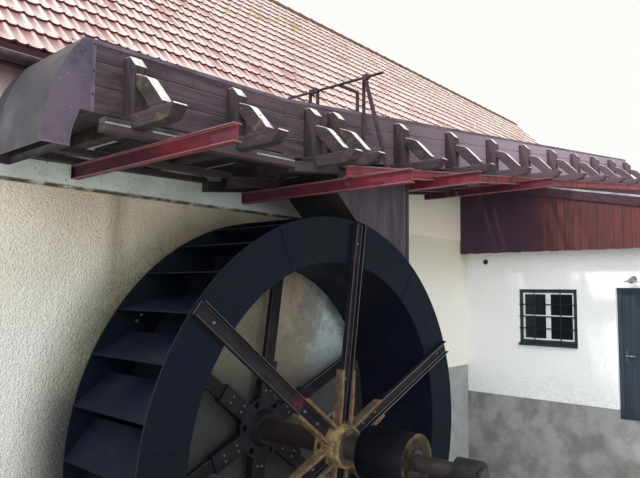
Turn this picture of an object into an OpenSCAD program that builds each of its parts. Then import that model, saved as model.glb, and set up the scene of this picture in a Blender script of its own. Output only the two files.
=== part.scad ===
// Watermill: a rendered mill house with a tiled roof, a lean-to annex, an iron bucket wheel
// beside the long wall and the timber flume that brings the water over it.
// X runs along the wheel wall, Y into the house and Z up. The origin lies under the wheel
// shaft, at the foot of the wheel wall, in the middle of its thickness.

/* [Mill house] */
// Length over the two gable walls
mill_l = 22300; // [20500:100:24000]
// Depth over the two long walls
mill_d = 8400; // [7600:100:9200]
// Thickness of the outer walls
wall_t = 500; // [400:10:600]
// Distance from the wheel shaft to the left gable face
mill_left = 5250; // [4600:50:6500]
// Height of the tile surface at the eaves
eaves_z = 6000; // [5970:5:6030]
// Pitch of the roof in degrees
roof_pitch = 45; // [40:1:48]
// Overhang of the tiles past the long walls
eaves_out = 330; // [280:10:400]
// Overhang of the roof past the gables
verge_out = 250; // [150:10:350]
// Thickness of rafters and boarding under the tiles
roof_t = 130; // [110:5:150]
// Depth of the tiles on their battens
tile_t = 50; // [40:5:60]
// Height of the ledge where the smooth band of render starts
ledge_z = 5016; // [4800:10:5100]
// How far the smooth band stands proud of the rough cast
band_proud = 20; // [10:5:40]
// Height of the ground floor
floor_z = 2180; // [2000:10:2300]
// Thickness of the floors
floor_t = 180; // [140:10:220]
// Height of the loft floor
loft_z = 5500; // [5200:20:5600]
// Radius of the round ridge tiles
ridge_r = 120; // [90:5:150]
// Radius of the half-round gutters
gutter_r = 65; // [50:5:80]
// Depth of the boards along the verges
verge_h = 200; // [150:10:240]
// Thickness of the boards along the eaves and verges
board_t = 25; // [18:1:32]

/* [Windows] */
// Width of each window opening
win_w = 960; // [800:10:1100]
// Height of each window opening
win_h = 900; // [800:10:1000]
// Height of the sill above the ground floor
sill_up = 1070; // [900:10:1200]
// Height of the sill of the loft windows above the loft floor
loft_sill_up = 900; // [700:10:1000]
// Face width of the fixed frames
frame_w = 45; // [35:5:60]
// Depth of the fixed frames
frame_t = 70; // [50:5:90]
// Face width of the casement stiles and rails
sash_w = 38; // [30:2:50]
// Depth of the casements
sash_t = 45; // [35:5:60]
// How far the window frames stand back from the wall face
win_back = 25; // [15:5:60]
// Windows along the back wall
back_windows = 5; // [3:1:7]

/* [Annex] */
// Distance from the wheel shaft to the annex side wall
annex_x = 5277; // [5150:10:5600]
// Length of the annex along the mill house
annex_l = 6020; // [5800:20:6600]
// Depth of the annex in front of the wheel wall
annex_d = 4100; // [3900:20:4600]
// Thickness of the annex walls
annex_t = 300; // [240:10:360]
// Distance by which the lean-to roof lies under the eaves, 1601 mm out from the wheel wall
annex_roof_drop = 175; // [150:5:185]
// Fall of the lean-to roof in degrees
annex_pitch = 11.3; // [9:0.1:13]
// Thickness of the lean-to roof
annex_roof_t = 120; // [90:5:150]
// Overhang of the lean-to roof past the side walls
annex_verge = 280; // [200:10:320]
// Overhang of the lean-to roof past the front wall
annex_eaves = 350; // [200:10:450]
// Height of the lower edge of the boarding under the verge
boarding_z = 4765; // [4600:5:4900]
// Thickness of the boarding
boarding_t = 30; // [20:5:40]
// Top of the grey plinth
plinth_z = 2329; // [2250:5:2450]
// How far the plinth stands proud of the wall
plinth_proud = 15; // [10:1:30]
// Distance from the wheel wall to the near side of the annex window
annex_win_y = 973; // [900:5:1100]
// Distance from the wheel wall to the lamp over the door
lamp_y = 2785; // [2600:5:3000]
// Distance from the wheel wall to the near side of the doorway
door_y = 2516; // [2450:5:2700]
// Width of the doorway
door_w = 950; // [850:10:1050]
// Height of the doorway
door_h = 2000; // [1900:10:2200]
// Thickness of the door leaf
door_t = 45; // [35:5:60]
// Face width of the door frame
door_frame_w = 50; // [40:5:70]
// Gap between the door leaf and its frame
door_gap = 8; // [7:1:10]
// How far the door frame stands back from the wall face
door_back = 80; // [50:5:110]
// Height of the foot of the handle's plate above the floor
handle_up = 870; // [800:10:950]

/* [Wheel] */
// Outer diameter of the wheel
wheel_d = 4600; // [4400:20:4700]
// Width over the two shrouds
wheel_w = 1106; // [1000:2:1150]
// Gap between the wheel and the wheel wall
wheel_gap = 212; // [190:2:260]
// Height of the shaft above the foot of the walls
axle_z = 2550; // [2500:10:2640]
// Depth of the shroud rings
shroud_h = 459; // [380:1:520]
// Thickness of the shroud and bucket plates
plate_t = 12; // [10:1:20]
// Number of buckets
bucket_count = 32; // [24:1:36]
// Angle by which a bucket's lip runs ahead of its root
lip_lead = 9; // [6:0.5:12]
// Direction of the first spoke in degrees
spoke_turn = 22; // [0:1:59]
// Number of spokes on each side
spoke_count = 6; // [6:1:6]
// Width of the channel spokes
spoke_w = 150; // [120:5:180]
// Height of the flanges of the spokes
spoke_h = 60; // [45:5:75]
// Thickness of the spoke steel
spoke_t = 9; // [6:1:12]

/* [Hubs and shaft] */
// Diameter of the shaft through the two hubs
shaft_d = 230; // [200:5:260]
// Outer radius of the bush in the wheel wall
bush_r = 160; // [150:2:180]
// Diameter of the round nose of the hub
nose_d = 416; // [380:2:440]
// Length of the nose in front of the spokes
nose_l = 160; // [120:5:180]
// Reach of the hub sockets from the shaft axis
socket_r = 740; // [640:10:820]
// Wall thickness of the cast sockets
socket_t = 24; // [18:1:30]
// Radius of the web between two sockets
web_r = 340; // [300:10:380]
// Diameter of the belt drum
drum_d = 510; // [420:10:560]
// Distance from the wheel wall to the near end of the belt drum
drum_y = 1720; // [1700:10:1800]
// Length of the belt drum
drum_l = 530; // [400:10:560]
// Diameter of the journals in the bearings
journal_d = 150; // [130:5:170]
// Running clearance around a journal
bearing_gap = 0.3; // [0.2:0.1:0.5]

/* [Bearings] */
// Distance from the wheel wall to the outer bearing
bearing_y = 2660; // [2600:10:2800]
// Length of the outer bearing
bearing_l = 220; // [160:10:260]
// Outer radius of the bearing housing
bearing_r = 130; // [115:5:150]
// Width of the pier under the outer bearing
pier_w = 760; // [600:20:900]
// Depth of the pier
pier_l = 520; // [400:20:640]
// Height of the bearing's foot under the shaft axis
bearing_drop = 210; // [180:5:240]

/* [Flume] */
// Distance from the wheel wall to the outer face of the flume
flume_y = 1265; // [1240:5:1300]
// Width of the flume over its sides
flume_w = 720; // [640:10:760]
// Depth of the tail section's sides
flume_h = 534; // [500:2:560]
// Depth of the head section's sides
head_h = 570; // [550:2:590]
// Thickness of the flume's planks
plank_t = 50; // [40:5:60]
// X of the open end, where the overflow hood starts
flume_x0 = -2705; // [-2800:5:-2650]
// X where the rising head section meets the tail section
joint_x = -780; // [-820:5:-720]
// X of the upstream end
flume_x1 = 11000; // [10980:10:11200]
// Height of the tail section's upper edge at the joint
tail_z = 5933; // [5900:1:5960]
// Rise of the tail section in degrees
tail_tilt = 1.43; // [0:0.01:1.8]
// Height of the head section's upper edge at the joint
head_z = 5931; // [5900:1:5960]
// Rise of the head section in degrees
head_tilt = 6.82; // [6.3:0.01:7.1]
// Height of the cross sills
sill_h = 105; // [90:5:120]
// Width of the cross sills
sill_w = 115; // [110:5:130]
// Reach of the sills past the outer face of the flume
sill_out = 660; // [630:5:700]
// Length of the slanting cut under the outer end of a sill
sill_cut = 130; // [100:5:150]
// X of the first of the three brackets at the open end
tail_first = -2430; // [-2500:5:-2400]
// Spacing of those three brackets
tail_pitch = 990; // [960:5:1010]
// X of the next bracket
head_first = -90; // [-120:5:-70]
// Spacing of the brackets from there on
head_pitch = 1208; // [1180:1:1215]
// Thickness of the bracket posts out from the flume
post_t = 155; // [130:5:170]
// Width of the posts along the flume
post_w = 105; // [95:5:110]
// Distance of the top of the posts under the flume's upper edge
post_drop = 78; // [60:2:100]
// Depth of the slanting cut on the top of the posts
post_cut = 85; // [60:5:100]
// Width of the knees along the flume
knee_w = 90; // [70:5:95]
// Height of the knees at the post
knee_h = 306; // [280:2:320]
// Reach of the knees past the outer face of the flume
knee_out = 503; // [460:1:540]
// Height of the blunt outer end of the knees
knee_toe = 37; // [20:1:60]
// Distance of the knees' bend from the outer face of the flume
bend_out = 298; // [280:2:320]
// Height of the bend above the sill
bend_h = 250; // [240:2:260]
// Radius of the bend
bend_r = 150; // [100:10:180]
// Height and length of the opening between post, knee and sill
knee_hole = 212; // [180:2:220]
// Thickness of the boards beside the flume
walk_t = 30; // [20:2:40]
// Width of the gaps between those boards
walk_gap = 190; // [150:5:230]
// X where the boards beside the flume end
walk_x1 = 3400; // [3200:20:3500]
// Height of the timber rails of the tail section
rail_h = 51; // [45:1:60]
// Height of the rails of the head section
long_beam_h = 110; // [100:1:120]
// Depth by which those rails are notched over the beams past the feed box
notch_d = 48; // [30:1:60]
// Width of the timber rails
rail_w = 100; // [80:5:120]
// Distance of the outer timber rail from the flume's outer face
rail_out = 108; // [90:2:140]
// Distance of the long red beam from the flume's outer face
long_beam_out = 340; // [300:5:380]

/* [Beams] */
// Height of the red cantilever beams
beam_h = 130; // [120:2:150]
// Flange width of the beams
beam_w = 74; // [60:2:90]
// Thickness of the beams' webs and flanges
beam_t = 9; // [6:1:12]
// X of the cantilever beams
beam_x = [-2210, -170, 1420, 3820]; // [-2600:10:4200]
// Reach of the cantilever beams past the wheel wall
beam_out = [2260, 2320, 2200, 2130]; // [1900:10:2500]
// Depth by which the beams are built into the wall
beam_in = 250; // [150:10:300]

/* [Overflow hood] */
// Radius of the outer sheet
hood_r = 1191; // [1150:1:1230]
// Distance from the flume's end to the outermost point of the hood
hood_reach = 365; // [340:1:390]
// Height of the hood's mouth above the foot of the walls
hood_z = 5074; // [5040:1:5120]
// Width of the mouth along the flume
hood_mouth = 200; // [170:1:230]
// Radius of the inner sheet
hood_inner_r = 900; // [800:1:1000]
// Width of the hood across the flume
hood_w = 1015; // [980:5:1040]
// Thickness of the sheets
hood_t = 5; // [4:1:8]

/* [Feed box and gate] */
// X of the upper end of the sloping wall of the feed box
feed_x0 = 37; // [20:1:60]
// Distance by which the sloping wall leans over
feed_lean = 330; // [280:5:360]
// Thickness of the feed box plates
feed_t = 10; // [8:1:14]
// Clearance between the feed box and the wheel
feed_gap = 30; // [20:1:45]
// Height above the shaft axis down to which the feed box reaches
feed_low = 1870; // [1840:5:1900]
// X of the gate shaft
gate_x = 470; // [440:5:500]
// Height of the gate shaft above the flume's upper edge
gate_up = 400; // [360:5:440]
// Diameter of the gate shaft
gate_d = 30; // [24:2:40]
// Reach of the gate arm
arm_l = 340; // [300:5:380]
// Thickness of the gate arm
arm_t = 30; // [24:2:36]

/* [Hidden] */
$fn = 96;

overlap = 1;
fit_gap = 0.1;
pin_gap = 0.3;
joint_gap = 0.5;
annex_ref = 1601;
bar_t = 12;
gate_bar_w = 50;
door_stop = 16;
leaf_t = 30;
leaf_gap = 5;
strap_l = 620;
strap_w = 45;
strap_t = 6;
pin_r = 8;
eye_r = 12;

face_y = -wall_t / 2;
inner_y = wall_t / 2;
back_face_y = face_y + mill_d;
ridge_y = face_y + mill_d / 2;
mill_x0 = -mill_left;
mill_x1 = mill_x0 + mill_l;
roof_depth = tile_t + roof_t;
under_roof = roof_depth + fit_gap;
under_annex_roof = annex_roof_t + fit_gap;
eaves_y = face_y - eaves_out;
tile_end_y = eaves_y + gutter_r;
fascia_y = eaves_y + 2 * gutter_r;
gutter_z = eaves_z - 20;
sill_z = floor_z + sill_up;
loft_sill_z = loft_z + loft_sill_up;
annex_y0 = face_y - annex_d;
annex_x1 = annex_x + annex_l;
annex_roof_z = eaves_z - annex_roof_drop;
wheel_r = wheel_d / 2;
wheel_top = axle_z + wheel_r;
sole_r = wheel_r - shroud_h;
wheel_back = face_y - wheel_gap;
wheel_front = wheel_back - wheel_w;
shaft_r = shaft_d / 2;
nose_r = nose_d / 2;
journal_r = journal_d / 2;
flume_near = face_y - flume_y;
flume_far = flume_near + flume_w;
long_beam_x0 = beam_x[1] - beam_w;
feed_x1 = beam_x[2] - beam_w / 2;
feed_top = wheel_top + 268;
gate_z = head_top(gate_x) + gate_up;
arm_y = (flume_near + flume_far) / 2;
door_x = annex_x + door_back;
leaf_x0 = door_x + 20;
door_y1 = face_y - door_y;
door_y0 = door_y1 - door_w;
hinge_x = leaf_x0 + door_t + 12;
hinge_y = door_y0 + door_frame_w + door_gap;

tail_xs = [for (i = [0:2]) tail_first + i * tail_pitch];
strap_zs = [floor_z + 250, floor_z + door_h - 350];
head_xs = [for (i = [0:9]) head_first + i * head_pitch];
bracket_xs = concat(tail_xs, head_xs);
back_xs = [for (i = [1:back_windows]) mill_x0 + i * mill_l / (back_windows + 1)];
gable_ys = [ridge_y - mill_d / 4, ridge_y + mill_d / 4];
annex_front_xs = [annex_x + annex_l / 4, annex_x + annex_l * 3 / 4];
annex_win_c = face_y - annex_win_y - win_w / 2;

// Height of a layer of the front roof slope at y, the given depth below the tile surface
function roof_z(y, depth = 0) =
    eaves_z + (y - eaves_y) * tan(roof_pitch) - depth / cos(roof_pitch);
// The same for the lean-to roof
function annex_z(y, depth = 0) =
    annex_roof_z + (y - (face_y - annex_ref)) * tan(annex_pitch) - depth / cos(annex_pitch);
// Upper edges of the flume's two sections, and of the section that holds x
function tail_top(x) = tail_z + (x - joint_x) * tan(tail_tilt);
function head_top(x) = head_z + (x - joint_x) * tan(head_tilt);
function flume_top(x) = x < joint_x ? tail_top(x) : head_top(x);
// Depths of the flume's lower edge, of the sills' top and of the rails' top under that edge
function side_depth(x) = x < joint_x ? flume_h : head_h;
function sill_depth(x) = side_depth(x) + fit_gap;
function rail_depth(x) = sill_depth(x) + sill_h + fit_gap;
function flume_low(x) = flume_top(x) - side_depth(x);
function rail_top(x) = flume_top(x) - rail_depth(x);
// Top of a cantilever beam at x, under the rails that it carries
function beam_top(x) =
    let (low_x = x - beam_w / 2)
    x < joint_x ? rail_top(low_x) - rail_h - fit_gap
    : rail_top(low_x) - long_beam_h - fit_gap + (x > feed_x1 ? notch_d : 0);
// Where the lean-to roof runs out on the tiles of the house
roofs_meet_y = (annex_roof_z - (face_y - annex_ref) * tan(annex_pitch)
                - eaves_z - fit_gap + eaves_y * tan(roof_pitch))
               / (tan(roof_pitch) - tan(annex_pitch));

// Extrudes an outline drawn in X and Z from y0 to y1
module across(y0, y1) {
    translate([0, y1, 0]) rotate([90, 0, 0]) linear_extrude(y1 - y0) children();
}

// Extrudes an outline drawn in Y and Z from x0 to x1
module along(x0, x1) {
    translate([x0, 0, 0]) rotate([90, 0, 90]) linear_extrude(x1 - x0) children();
}

// Box between two corners
module block(a, b) {
    translate(a) cube(b - a);
}

// Puts a shape drawn around +Z on the wheel shaft, with its foot at y and running into the house
module on_shaft(y) {
    translate([0, y, axle_z]) rotate([-90, 0, 0]) children();
}

// Strip that follows the tail or head section between two depths below its upper edge
module tail_strip(x0, x1, y0, y1, upper, lower) {
    across(y0, y1)
        polygon([[x0, tail_top(x0) - upper], [x0, tail_top(x0) - lower],
                 [x1, tail_top(x1) - lower], [x1, tail_top(x1) - upper]]);
}

module head_strip(x0, x1, y0, y1, upper, lower) {
    across(y0, y1)
        polygon([[x0, head_top(x0) - upper], [x0, head_top(x0) - lower],
                 [x1, head_top(x1) - lower], [x1, head_top(x1) - upper]]);
}

// Outline of a rolled I-section with its foot on the origin
module i_section(h, w, t) {
    translate([-w / 2, 0]) square([w, t]);
    translate([-w / 2, h - t]) square([w, t]);
    translate([-t / 2, t]) square([t, h - 2 * t]);
}

// The given shape and its mirror image on the other side of the ridge
module other_slope() {
    translate([0, 2 * ridge_y, 0]) mirror([0, 1, 0]) children();
}

// Places its children at every window, drawn with X along the wall, Y into the wall and Z up
// from the sill, with the origin in the middle of the sill on the outer face
module at_windows() {
    translate([annex_x, annex_win_c, sill_z]) rotate([0, 0, -90]) children();
    for (x = annex_front_xs) translate([x, annex_y0, sill_z]) children();
    for (x = back_xs) translate([x, back_face_y, sill_z]) rotate([0, 0, 180]) children();
    for (y = gable_ys) {
        translate([mill_x0, y, sill_z]) rotate([0, 0, -90]) children();
        translate([mill_x1, y, sill_z]) rotate([0, 0, 90]) children();
    }
    translate([mill_x0, ridge_y, loft_sill_z]) rotate([0, 0, -90]) children();
    translate([mill_x1, ridge_y, loft_sill_z]) rotate([0, 0, 90]) children();
}

module window_cuts() {
    at_windows() block([-win_w / 2, -overlap, 0], [win_w / 2, wall_t + overlap, win_h]);
}

// Cross-section of a long wall of the house, up to the underside of the roof
module long_wall_outline() {
    polygon([[face_y, 0], [inner_y, 0], [inner_y, roof_z(inner_y, under_roof)],
             [face_y, roof_z(face_y, under_roof)]]);
}

module wheel_wall() {
    band_y = face_y - band_proud;
    color("wheat") difference() {
        union() {
            along(mill_x0, mill_x1) long_wall_outline();
            along(mill_x0, annex_x)
                polygon([[band_y, ledge_z], [face_y, ledge_z - band_proud],
                         [face_y, roof_z(face_y, under_roof)],
                         [band_y, roof_z(band_y, under_roof)]]);
        }
        on_shaft(band_y - overlap) cylinder(r = bush_r, h = wall_t + band_proud + 2 * overlap);
        for (x = beam_x)
            block([x - beam_w / 2, band_y - overlap, beam_top(x) - beam_h],
                  [x + beam_w / 2, face_y + beam_in, beam_top(x)]);
    }
}

module back_wall() {
    color("wheat") difference() {
        other_slope() along(mill_x0, mill_x1) long_wall_outline();
        window_cuts();
    }
}

module gable(x0) {
    eave_z = roof_z(inner_y, under_roof);
    color("wheat") difference() {
        along(x0, x0 + wall_t)
            polygon([[inner_y, 0], [2 * ridge_y - inner_y, 0], [2 * ridge_y - inner_y, eave_z],
                     [ridge_y, roof_z(ridge_y, under_roof)], [inner_y, eave_z]]);
        window_cuts();
    }
}

module left_gable() { gable(mill_x0); }
module right_gable() { gable(mill_x1 - wall_t); }

module house_floor(z) {
    color("tan") block([mill_x0 + wall_t, inner_y, z - floor_t],
                       [mill_x1 - wall_t, back_face_y - wall_t, z]);
}

module ground_floor() { house_floor(floor_z); }
module loft_floor() { house_floor(loft_z); }

// One roof slope: boarding and rafters up to the fascia, tiles out over the gutter
module roof_slope() {
    color("indianred") along(mill_x0 - verge_out, mill_x1 + verge_out)
        polygon([[tile_end_y, roof_z(tile_end_y)],
                 [tile_end_y, roof_z(tile_end_y, tile_t)],
                 [fascia_y + board_t, roof_z(fascia_y + board_t, tile_t)],
                 [fascia_y + board_t, roof_z(fascia_y + board_t, roof_depth)],
                 [ridge_y, roof_z(ridge_y, roof_depth)], [ridge_y, roof_z(ridge_y)]]);
}

module front_roof() { roof_slope(); }
module back_roof() { other_slope() roof_slope(); }

module ridge_tiles() {
    color("firebrick") difference() {
        translate([mill_x0 - verge_out, ridge_y, roof_z(ridge_y) - ridge_r / 2])
            rotate([0, 90, 0]) cylinder(r = ridge_r, h = mill_l + 2 * verge_out);
        along(mill_x0 - mill_l, mill_x1 + mill_l)
            polygon([[ridge_y, roof_z(ridge_y, -fit_gap)],
                     [ridge_y - mill_d, roof_z(ridge_y - mill_d, -fit_gap)],
                     [ridge_y + mill_d, roof_z(ridge_y - mill_d, -fit_gap)]]);
    }
}

// Half-round channel along X, with its rim at z and its middle at y
module gutter(x0, x1, y, z) {
    wall = 3;
    translate([x0, y, z]) rotate([0, 90, 0]) difference() {
        cylinder(r = gutter_r, h = x1 - x0);
        translate([0, 0, wall]) cylinder(r = gutter_r - wall, h = x1 - x0 - 2 * wall);
        translate([-2 * gutter_r, -2 * gutter_r, -overlap])
            cube([2 * gutter_r, 4 * gutter_r, x1 - x0 + 2 * overlap]);
    }
}

eaves_x0 = mill_x0 - verge_out;
eaves_x1 = annex_x - annex_verge - 2 * board_t;
eaves_x2 = annex_x1 + annex_verge + 2 * board_t;
eaves_x3 = mill_x1 + verge_out;

module gutters() {
    color("saddlebrown") {
        gutter(eaves_x0, eaves_x1, tile_end_y, gutter_z);
        gutter(eaves_x2, eaves_x3, tile_end_y, gutter_z);
        other_slope() gutter(eaves_x0, eaves_x3, tile_end_y, gutter_z);
    }
}

module fascia(x0, x1) {
    along(x0, x1)
        polygon([[fascia_y, roof_z(fascia_y, tile_t + fit_gap)],
                 [fascia_y, roof_z(fascia_y + board_t, roof_depth)],
                 [fascia_y + board_t, roof_z(fascia_y + board_t, roof_depth)],
                 [fascia_y + board_t, roof_z(fascia_y + board_t, tile_t + fit_gap)]]);
}

module verge_board(x0) {
    along(x0, x0 + board_t)
        polygon([[tile_end_y, roof_z(tile_end_y)], [tile_end_y, roof_z(tile_end_y, verge_h)],
                 [ridge_y, roof_z(ridge_y, verge_h)], [ridge_y, roof_z(ridge_y)]]);
}

// Barge board of the lean-to roof, from its eaves up to the gutter line
module barge_board(x0) {
    y0 = annex_y0 - annex_eaves;
    y1 = eaves_y - board_t;
    along(x0, x0 + board_t)
        polygon([[y0, annex_z(y0)], [y0, annex_z(y0, verge_h * 0.8)],
                 [y1, annex_z(y1, verge_h * 0.8)], [y1, annex_z(y1)]]);
}

module roof_boards() {
    color("sienna") {
        fascia(eaves_x0, annex_x - annex_verge);
        fascia(annex_x1 + annex_verge, eaves_x3);
        verge_board(eaves_x0 - board_t);
        verge_board(eaves_x3);
        other_slope() {
            fascia(eaves_x0, eaves_x3);
            verge_board(eaves_x0 - board_t);
            verge_board(eaves_x3);
        }
        barge_board(annex_x - annex_verge - board_t);
        barge_board(annex_x1 + annex_verge);
    }
}

// Four members around an opening, drawn in X and Z
module frame_outline(w, h, face) {
    difference() {
        translate([-w / 2, 0]) square([w, h]);
        translate([-w / 2 + face, face]) square([w - 2 * face, h - 2 * face]);
    }
}

// Fixed frame, and a sill that slopes out under it
module window_frames() {
    reach = 50;
    color("darkslategray") at_windows() {
        across(win_back, win_back + frame_t) frame_outline(win_w, win_h, frame_w);
        along(-win_w / 2, win_w / 2) polygon([[-reach, -40], [0, -40], [0, 0],
            [win_back + overlap, 0], [win_back + overlap, 12], [0, 8], [-reach, -8]]);
    }
}

// Two leaves a window, set in the frame with a narrow gap between them
leaf_w = (win_w - 2 * frame_w - joint_gap) / 2;
leaf_h = win_h - 2 * frame_w;

module casements() {
    color("white") at_windows() for (side = [-1, 1])
        translate([side * (leaf_w + joint_gap) / 2, 0, frame_w])
            across(win_back + 10, win_back + 10 + sash_t) frame_outline(leaf_w, leaf_h, sash_w);
}

module window_glass() {
    glass_t = 4;
    y = win_back + 10 + sash_t / 2;
    color("lightblue") at_windows() for (side = [-1, 1])
        translate([side * (leaf_w + joint_gap) / 2, 0, frame_w])
            block([-leaf_w / 2 + sash_w, y - glass_t / 2, sash_w],
                  [leaf_w / 2 - sash_w, y + glass_t / 2, leaf_h - sash_w]);
}

// Side of the annex from the wheel wall out to y0, up to the undersides of both roofs
module annex_side_outline(y0) {
    back_y = fascia_y + board_t;
    polygon([[face_y, 0], [face_y, roof_z(face_y, under_roof)],
             [back_y, roof_z(back_y, under_roof)], [fascia_y, roof_z(back_y, under_roof)],
             [fascia_y, annex_z(fascia_y, under_annex_roof)],
             [y0, annex_z(y0, under_annex_roof)], [y0, 0]]);
}

// The stretch of an annex side wall between y0 and y1 and between two heights
module annex_side(x0, x1, y0, y1, z0, z1) {
    intersection() {
        along(x0, x1) annex_side_outline(y0);
        block([x0 - overlap, y0, z0], [x1 + overlap, y1, z1]);
    }
}

// Plinth in front of the side wall, between y0 and y1
module side_plinth(y0, y1) {
    block([annex_x - plinth_proud, y0, 0], [annex_x, y1, plinth_z]);
}

module annex_side_wall() {
    color("white") difference() {
        union() {
            annex_side(annex_x, annex_x + annex_t, door_y1, face_y, 0, 2 * eaves_z);
            side_plinth(door_y1, face_y);
        }
        window_cuts();
    }
}

module annex_corner_wall() {
    color("white") {
        annex_side(annex_x, annex_x + annex_t, annex_y0, door_y0, 0, 2 * eaves_z);
        side_plinth(annex_y0, door_y0);
    }
}

// The wall over the doorway, and the footing under it
module annex_doorway_walls() {
    color("white") {
        annex_side(annex_x, annex_x + annex_t, door_y0, door_y1, floor_z + door_h, 2 * eaves_z);
        annex_side(annex_x - plinth_proud, annex_x + annex_t, door_y0, door_y1, 0, floor_z);
    }
}

module annex_front_wall() {
    color("white") difference() {
        along(annex_x + annex_t, annex_x1 - annex_t)
            polygon([[annex_y0, 0], [annex_y0 + annex_t, 0],
                     [annex_y0 + annex_t, annex_z(annex_y0 + annex_t, under_annex_roof)],
                     [annex_y0, annex_z(annex_y0, under_annex_roof)]]);
        window_cuts();
    }
}

module annex_end_wall() {
    color("white")
        annex_side(annex_x1 - annex_t, annex_x1, annex_y0, face_y, 0, 2 * eaves_z);
}

module annex_floor() {
    color("tan") block([annex_x + annex_t, annex_y0 + annex_t, floor_z - floor_t],
                       [annex_x1 - annex_t, face_y, floor_z]);
}

module annex_roof() {
    front_y = annex_y0 - annex_eaves;
    color("dimgray") along(annex_x - annex_verge, annex_x1 + annex_verge)
        polygon([[roofs_meet_y, annex_z(roofs_meet_y)], [tile_end_y, roof_z(tile_end_y) + fit_gap],
                 [tile_end_y, annex_z(tile_end_y, annex_roof_t)],
                 [front_y, annex_z(front_y, annex_roof_t)], [front_y, annex_z(front_y)]]);
}

// Boarding that hangs under the verges, in front of the side walls
module annex_boarding() {
    y0 = annex_y0 - annex_eaves;
    y1 = face_y - band_proud;
    x0 = annex_x - annex_verge;
    x1 = annex_x1 + annex_verge;
    color("brown") {
        annex_side(x0, x0 + boarding_t, y0, y1, boarding_z, 2 * eaves_z);
        annex_side(x1 - boarding_t, x1, y0, y1, boarding_z, 2 * eaves_z);
    }
}

// Frame with two jambs and a head, and a stop in front of the leaf that it shuts against
module door_frame() {
    head_z0 = floor_z + door_h;
    stop_x = leaf_x0 - 5;
    color("darkslategray") difference() {
        block([door_x, door_y0, floor_z], [leaf_x0 + door_t, door_y1, head_z0]);
        block([stop_x, door_y0 + door_frame_w, floor_z - overlap],
              [annex_x + annex_t, door_y1 - door_frame_w, head_z0 - door_frame_w]);
        block([annex_x - overlap, door_y0 + door_frame_w + door_stop, floor_z - overlap],
              [annex_x + annex_t, door_y1 - door_frame_w - door_stop,
               head_z0 - door_frame_w - door_stop]);
    }
}

module door_leaf() {
    color("teal")
        block([leaf_x0, hinge_y, floor_z + door_gap],
              [leaf_x0 + door_t, door_y1 - door_frame_w - door_gap,
               floor_z + door_h - door_frame_w - door_gap]);
}

// Straps on the inner face of the leaf, each ending in an eye around its pin
module door_straps() {
    color("black") for (z = strap_zs) difference() {
        union() {
            block([leaf_x0 + door_t, hinge_y + door_gap, z],
                  [leaf_x0 + door_t + strap_t, hinge_y + strap_l, z + strap_w]);
            block([leaf_x0 + door_t + strap_t / 2, hinge_y, z],
                  [leaf_x0 + door_t + strap_t, hinge_y + door_gap, z + strap_w]);
            translate([hinge_x, hinge_y, z]) cylinder(r = eye_r, h = strap_w);
        }
        translate([hinge_x, hinge_y, z - overlap])
            cylinder(r = pin_r + pin_gap, h = strap_w + 2 * overlap);
    }
}

// Pins on which the straps hang, on plates screwed to the inner side of the frame
module door_pintles() {
    plate_x = leaf_x0 + door_t;
    color("black") for (z = strap_zs) {
        translate([hinge_x, hinge_y, z - 15]) cylinder(r = pin_r, h = strap_w + 25);
        difference() {
            block([plate_x, hinge_y - 45, z - 15], [hinge_x + pin_r, hinge_y - 1, z - 5]);
            translate([hinge_x, hinge_y, z - 20]) cylinder(r = pin_r, h = 20);
        }
        block([plate_x, hinge_y - 55, z - 60], [plate_x + 5, hinge_y - 12, z - 15]);
    }
}

// Long plate with a lever on each side of the leaf
module door_handle() {
    y = door_y1 - door_frame_w - door_gap - 55;
    z = floor_z + handle_up + 90;
    reach = 50;
    color("silver") for (x = [leaf_x0, leaf_x0 + door_t]) {
        out = x == leaf_x0 ? -1 : 1;
        translate([x, y, z]) rotate([0, out * 90, 0]) {
            translate([-90, -18, 0]) cube([200, 36, 4]);
            translate([0, 0, 4]) cylinder(r = 9, h = reach - 4);
            translate([0, 0, reach]) rotate([90, 0, 0]) cylinder(r = 9, h = 125);
        }
    }
}

// Enamel shade on a short bracket over the door
module wall_lamp() {
    y = face_y - lamp_y;
    z = floor_z + door_h + 135;
    color("white") {
        translate([annex_x - 10, y, z]) rotate([0, 90, 0]) cylinder(r = 45, h = 10);
        translate([annex_x - 150, y, z]) rotate([0, 90, 0]) cylinder(r = 10, h = 140);
        translate([annex_x - 150, y, z - 40]) rotate_extrude()
            polygon([[0, 50], [30, 50], [34, 28], [110, -6], [110, -10], [30, 22], [0, 22]]);
        translate([annex_x - 150, y, z - 70]) cylinder(r = 28, h = 52);
    }
}

// Feed opening in the floor, under the gate leaf
feed_hole_x0 = gate_x + 30;
feed_hole_x1 = gate_x + arm_l - 50;

module flume_side(y0) {
    tail_strip(flume_x0, joint_x - joint_gap, y0, y0 + plank_t, 0, flume_h);
    head_strip(joint_x, flume_x1, y0, y0 + plank_t, 0, head_h);
}

module flume_near_side() { color("rosybrown") flume_side(flume_near); }
module flume_far_side() { color("rosybrown") flume_side(flume_far - plank_t); }

module flume_floor() {
    y0 = flume_near + plank_t;
    y1 = flume_far - plank_t;
    color("rosybrown") {
        tail_strip(flume_x0, joint_x - joint_gap, y0, y1, flume_h - plank_t, flume_h);
        head_strip(joint_x, feed_hole_x0, y0, y1, head_h - plank_t, head_h);
        head_strip(feed_hole_x1, flume_x1, y0, y1, head_h - plank_t, head_h);
    }
}

// Strip of the section that holds x, half_w to each side of it
module strip_at(x, half_w, y0, y1, upper, lower) {
    if (x < joint_x) tail_strip(x - half_w, x + half_w, y0, y1, upper, lower);
    else head_strip(x - half_w, x + half_w, y0, y1, upper, lower);
}

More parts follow.
